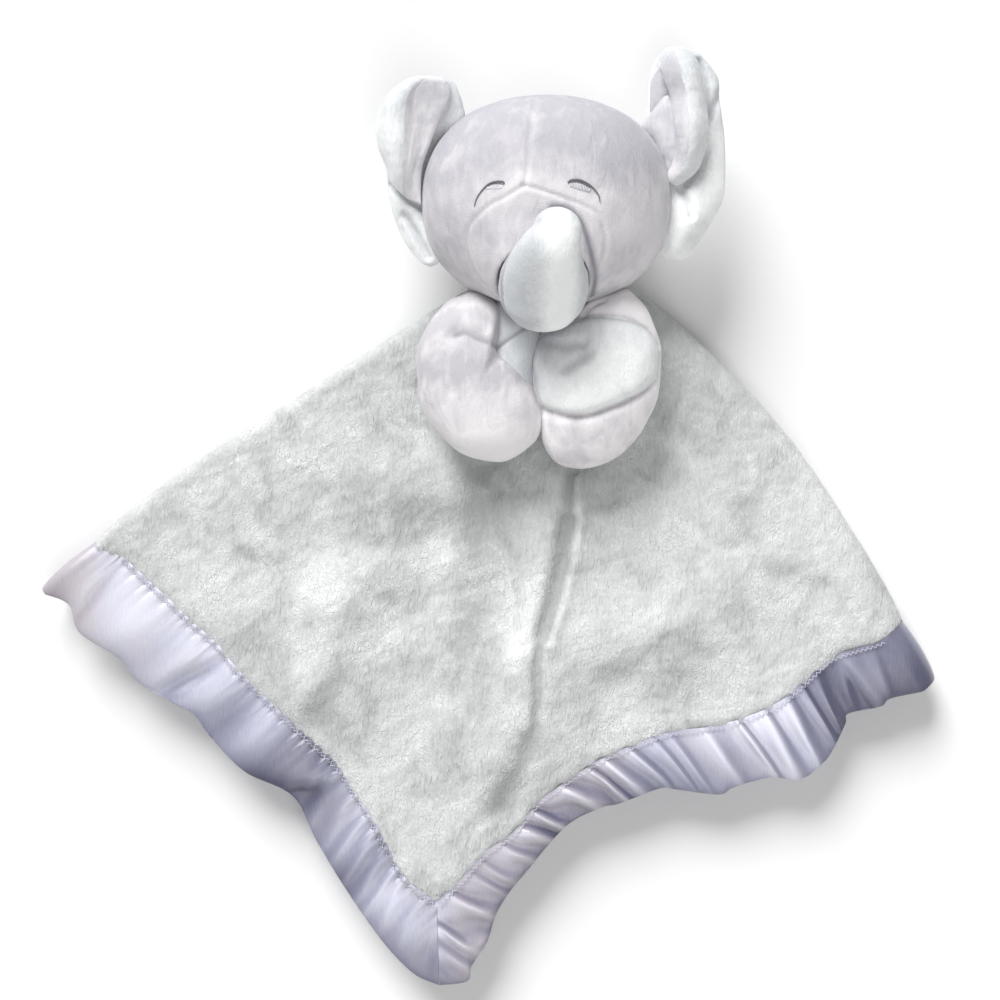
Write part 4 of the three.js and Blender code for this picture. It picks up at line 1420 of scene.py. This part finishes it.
def patch_place(tree, edge, centre, rise):
    """A stuffed patch over a hand: rings that shrink from its edge towards its centre."""
    middle = np.array(centre, float)
    loop = np.vstack([edge, edge[:1]])

    def place(u, v):
        ring = 1 - v
        points = on_tree(tree, middle + (pick(loop, u) - middle) * ring[:, None])
        swell = rise * np.sqrt(1 - ring**5) - 0.7
        swell = swell + 0.2 * (1 - ring**4) * rough(points, 3.0, 9)
        dents = sum(marked(points, line, 2.2, PALM_HEIGHT) for line in RIGHT_PALM_CREASES)
        points[:, 2] += swell - 1.4 * dents
        # Painted light towards the lower right, painted shade in the dents, and a dark painted
        # shadow round the patch's seam.
        painted_light_slope = 0.014 * (points[:, 0] - points[:, 1])
        return points, 0.36 + painted_light_slope - 0.35 * dents - 0.9 * ring**24

    return place


def make_arms():
    """Both arms, with the right palm as a patch laid over its arm."""
    for arm, form in (("arm_left", left_arm_form), ("arm_right", right_arm_form)):
        skin = make_ball(arm + "_skin", FINE_BALL, form, arm, ARM_VELOUR)
        stand_in(skin, "velour", ARM_FILL, arm + "_outer", arm + "_filling")
    palm = make_ball("arm_left_palm_plush", FINE_BALL, left_palm_form, "arm_left", LIMB_PLUSH)
    stand_in(palm, "plush", PALM_FILL, "arm_left_palm")
    edge = closed(RIGHT_PALM)
    place = patch_place(lookup(FINE_BALL, right_arm_form), edge, (597, 364), rise=3.4)
    columns, body = len(edge), "arm_right"
    palm = make_grid("arm_right_palm_plush", columns, PALM_RINGS, place, body, LIMB_PLUSH)
    stand_in(palm, "plush", PALM_FILL, "arm_right_palm")


make_arms()

# %% [markdown]
# ## The ears
#
# An ear is made of sewn, lightly filled layers. Each is a smooth surface through a table of
# places read off the picture with their heights: its rows run from the top of the ear down.

# %%
EAR_HEIGHT = 33
EAR_UNDERSIDE = 29
EAR_FILL = 0.3
LEAF_GRID = 64, 110
FRONT_SHARE = 0.42  # How far across a leaf its velour side gives way to plush.
LEFT_BACK = [
    [(432, 77, 34), (440, 77, 35), (448, 82, 34)],
    [(420, 80, 32), (439, 84, 35), (457, 93, 33)],
    [(405, 90, 30), (434, 98, 35), (463, 109, 32)],
    [(391, 110, 29), (424, 118, 34), (463, 124, 32)],
    [(386, 140, 29), (412, 142, 30), (440, 146, 29)],
    [(388, 166, 29), (408, 170, 31), (430, 175, 30)],
    [(391, 190, 29), (407, 194, 32), (426, 200, 30)],
    [(396, 213, 29), (410, 216, 32), (428, 218, 30)],
    [(405, 238, 29), (418, 239, 31), (434, 237, 30)],
    [(420, 259, 29), (428, 258, 30), (438, 252, 30)],
    [(430, 267, 29), (434, 266, 29), (438, 264, 29)],
]
LEFT_CUP = [
    [(418, 80, 36), (422, 79, 39), (428, 78, 39), (437, 78, 38), (446, 81, 37)],
    [(397, 93, 34), (406, 88, 41), (417, 86, 40), (435, 87, 38), (451, 91, 37)],
    [(384, 106, 34), (397, 101, 42), (412, 100, 40), (430, 101, 38), (449, 104, 37)],
    [(378, 127, 34), (393, 121, 42), (410, 115, 40), (426, 119, 38), (438, 126, 37)],
    [(380, 146, 34), (393, 146, 42), (408, 146, 40), (419, 147, 38), (429, 147, 37)],
    [(387, 164, 34), (396, 167, 41), (405, 168, 40), (412, 170, 38), (422, 170, 37)],
    [(392, 182, 34), (398, 190, 38), (405, 197, 37), (412, 201, 36), (421, 205, 37)],
]
RIGHT_BACK = [
    [(670, 48, 30), (682, 47, 31), (698, 55, 31)],
    [(655, 61, 29), (680, 60, 31), (707, 62, 31)],
    [(649, 84, 28), (682, 84, 31), (718, 79, 30)],
    [(648, 110, 28), (684, 112, 31), (720, 104, 30)],
    [(648, 135, 28), (688, 138, 31), (724, 135, 29)],
    [(657, 165, 29), (690, 168, 31), (725, 167, 29)],
    [(662, 192, 29), (692, 196, 34), (722.7, 194, 29)],
    [(662, 213, 29), (688, 218, 35), (715, 211, 29)],
    [(662, 236, 29), (681, 238, 34), (700, 235, 29)],
    [(663, 251, 29), (675, 251, 32), (687, 254, 29)],
    [(667, 258, 29), (671, 259, 29), (676, 260, 29)],
]
RIGHT_ROLL = [
    [(660, 68, 36), (668, 57, 38), (677, 52, 38), (686, 54, 38), (693, 61, 36)],
    [(667, 82, 37), (675, 74, 40), (683, 70, 42), (691, 72, 41), (697, 78, 37)],
    [(675, 100, 37), (681, 97, 40), (688, 96, 42), (695, 98, 41), (702, 102, 37)],
    [(678, 125, 37), (684, 124, 41), (691, 124, 43), (698, 124, 41), (704, 122, 37)],
    [(680, 150, 37), (685, 148, 41), (691, 147, 42), (696, 148, 40), (701, 151, 37)],
    [(675, 165, 36), (680, 165, 39), (685, 166, 40), (690, 167, 39), (694, 169, 36)],
    [(666, 180, 36), (668, 181, 37), (670, 183, 37), (672, 184, 37), (675, 186, 36)],
]
RIGHT_WEDGE = [
    [(667, 96, 36), (669, 95.5, 36.5), (671, 96, 36)],
    [(655, 110, 35), (664, 108, 37), (676, 108, 37)],
    [(641, 127, 33), (660, 124, 37), (680, 124, 37.5)],
    [(653, 142, 33), (665, 142, 37), (681, 144, 37.5)],
    [(662, 162, 33), (668, 162, 36), (676, 163, 36.5)],
    [(665, 176, 33), (668, 177, 35), (671, 178, 34)],
]
RIGHT_HOLLOW = [
    [(662, 66, 32), (670, 62, 33), (680, 62, 33)],
    [(652, 80, 31), (664, 82, 33), (678, 82, 34)],
    [(650, 100, 31), (664, 102, 33), (682, 102, 34)],
    [(650, 118, 31), (664, 118, 33), (682, 118, 34)],
]


def clear_of_head(points, gap=-0.3):
    """Pushes what would lie inside the head out to its surface."""
    directions = unit(points - HEAD)
    reach = head_reach(directions) + gap
    inside = distance(points, HEAD) < reach
    return np.where(inside[:, None], HEAD + directions * reach[:, None], points)


def make_leaf(name, rows, body, slot, nodes=(), *, thickness, tone, creases=()):
    """A lightly filled leaf, creased along lines off the picture, and clear of the head."""
    bm = bmesh.new()
    add_pillow(bm, loft(lifted(rows)), thickness, *LEAF_GRID, fuzz=0.15)
    points = np.array([v.co for v in bm.verts]) / MILLIMETRE
    dents = np.zeros(len(points))
    for line in creases:
        dents += marked(points, line, 1.3, EAR_HEIGHT) * (points[:, 2] > EAR_UNDERSIDE)
    points[:, 2] -= 1.6 * dents
    y = points[:, 1]
    # Painted shade in the creases and towards the top of the ear, and painted light lower down;
    # the tone paints the whole leaf lighter or darker.
    shade = tone - 0.4 * dents - 0.01 * (y - 120) - 0.03 * np.maximum(y - 138, 0)
    move(bm, bm.verts, (clear_of_head(points), shade))
    leaf = finish_mesh(name, bm, body, EAR_VELOUR if slot == "velour" else LIMB_PLUSH)
    return stand_in(leaf, slot, EAR_FILL, *nodes)


def outer_test(rows):
    """Tells which points lie on the outer side of a line down a leaf's table of rows."""
    line = np.array([smooth(row, FRONT_SHARE) for row in lifted(rows)])[:, :2]

    def test(points):
        x = np.interp(points[:, 1], line[::-1, 1], line[::-1, 0])
        return points[:, 0] < x

    return test


LEFT_EAR_CREASES = [
    [(391, 184), (405, 197), (421, 207)], [(404, 215), (418, 236), (428, 256)],
]
RIGHT_EAR_CREASES = [
    [(679, 188), (687, 203), (691, 217)], [(699, 62), (704, 82), (707, 102), (709, 117)],
    [(709, 117), (715, 105), (721, 92)], [(708, 150), (699, 168), (686, 184)],
]

make_leaf(
    "ear_left_leaf", LEFT_BACK, "ear_left", "plush", ["ear_left_back"],
    thickness=5.5, tone=-0.1, creases=LEFT_EAR_CREASES,
)
cup = make_leaf(
    "ear_left_cup", LEFT_CUP, "ear_left", "velour", ["ear_left_front"], thickness=4.2, tone=0.08
)
second_material(cup, LIMB_PLUSH, outer_test(LEFT_CUP))
make_leaf(
    "ear_right_leaf", RIGHT_BACK, "ear_right", "plush", ["ear_right_back"],
    thickness=5.5, tone=0.12, creases=RIGHT_EAR_CREASES,
)
roll = make_leaf("ear_right_roll", RIGHT_ROLL, "ear_right", "plush", thickness=5, tone=-0.06)
second_material(roll, EAR_VELOUR, outer_test(RIGHT_ROLL))
make_leaf(
    "ear_right_wedge", RIGHT_WEDGE, "ear_right", "velour", ["ear_right_front"],
    thickness=2, tone=-0.25,
)
# The hollow's low tone is painted shade deep inside the ear.
make_leaf("ear_right_hollow", RIGHT_HOLLOW, "ear_right", "velour", thickness=2, tone=-0.35)

# %% [markdown]
# ## Floor, light and camera
#
# A white floor, a wide sun from above the head that lays a broad soft shadow below the toy,
# a large soft light near the camera, and a weaker one low down at the blanket's corner.

# %%
def make_floor():
    bm = bmesh.new()
    bmesh.ops.create_grid(bm, x_segments=1, y_segments=1, size=2)
    mesh = bpy.data.meshes.new("floor")
    bm.to_mesh(mesh)
    bm.free()
    floor = add_object("floor", mesh)
    floor.location.z = -0.0005
    paper = Surface("floor", Roughness=0.9)
    paper.set("Base Color", colour(0.85, 0.85, 0.85))
    mesh.materials.append(paper.material)


def add_light(name, kind, location, **settings):
    """Adds a light that looks at the middle of the table."""
    light = bpy.data.lights.new(name, kind)
    for setting, value in settings.items():
        setattr(light, setting, value)
    lamp = add_object(name, light)
    lamp.location = location
    lamp.rotation_euler = (-Vector(location)).to_track_quat("-Z", "Y").to_euler()


def make_camera():
    camera = add_object("camera", bpy.data.cameras.new("camera"))
    camera.location.z = CAMERA_HEIGHT * MILLIMETRE
    camera.data.angle = 2 * math.atan(PICTURE_HALF * UNIT / CAMERA_HEIGHT)
    bpy.context.scene.camera = camera


def make_world(level):
    world = bpy.data.worlds.new("world")
    world.use_nodes = True
    background = world.node_tree.nodes["Background"]
    background.inputs["Color"].default_value = colour(1, 1, 1)
    background.inputs["Strength"].default_value = level
    bpy.context.scene.world = world


make_floor()
make_camera()
make_world(level=0.2)
add_light("sun", "SUN", (-0.38, 0.95, 0.65), energy=4.2, angle=math.radians(36))
add_light("fill", "AREA", (0.15, -0.5, 1.45), energy=7.6, size=1.0)
add_light("low", "AREA", (0.4, -1.15, 0.5), energy=3.6, size=1.0)
bpy.context.scene.view_settings.view_transform = "Standard"
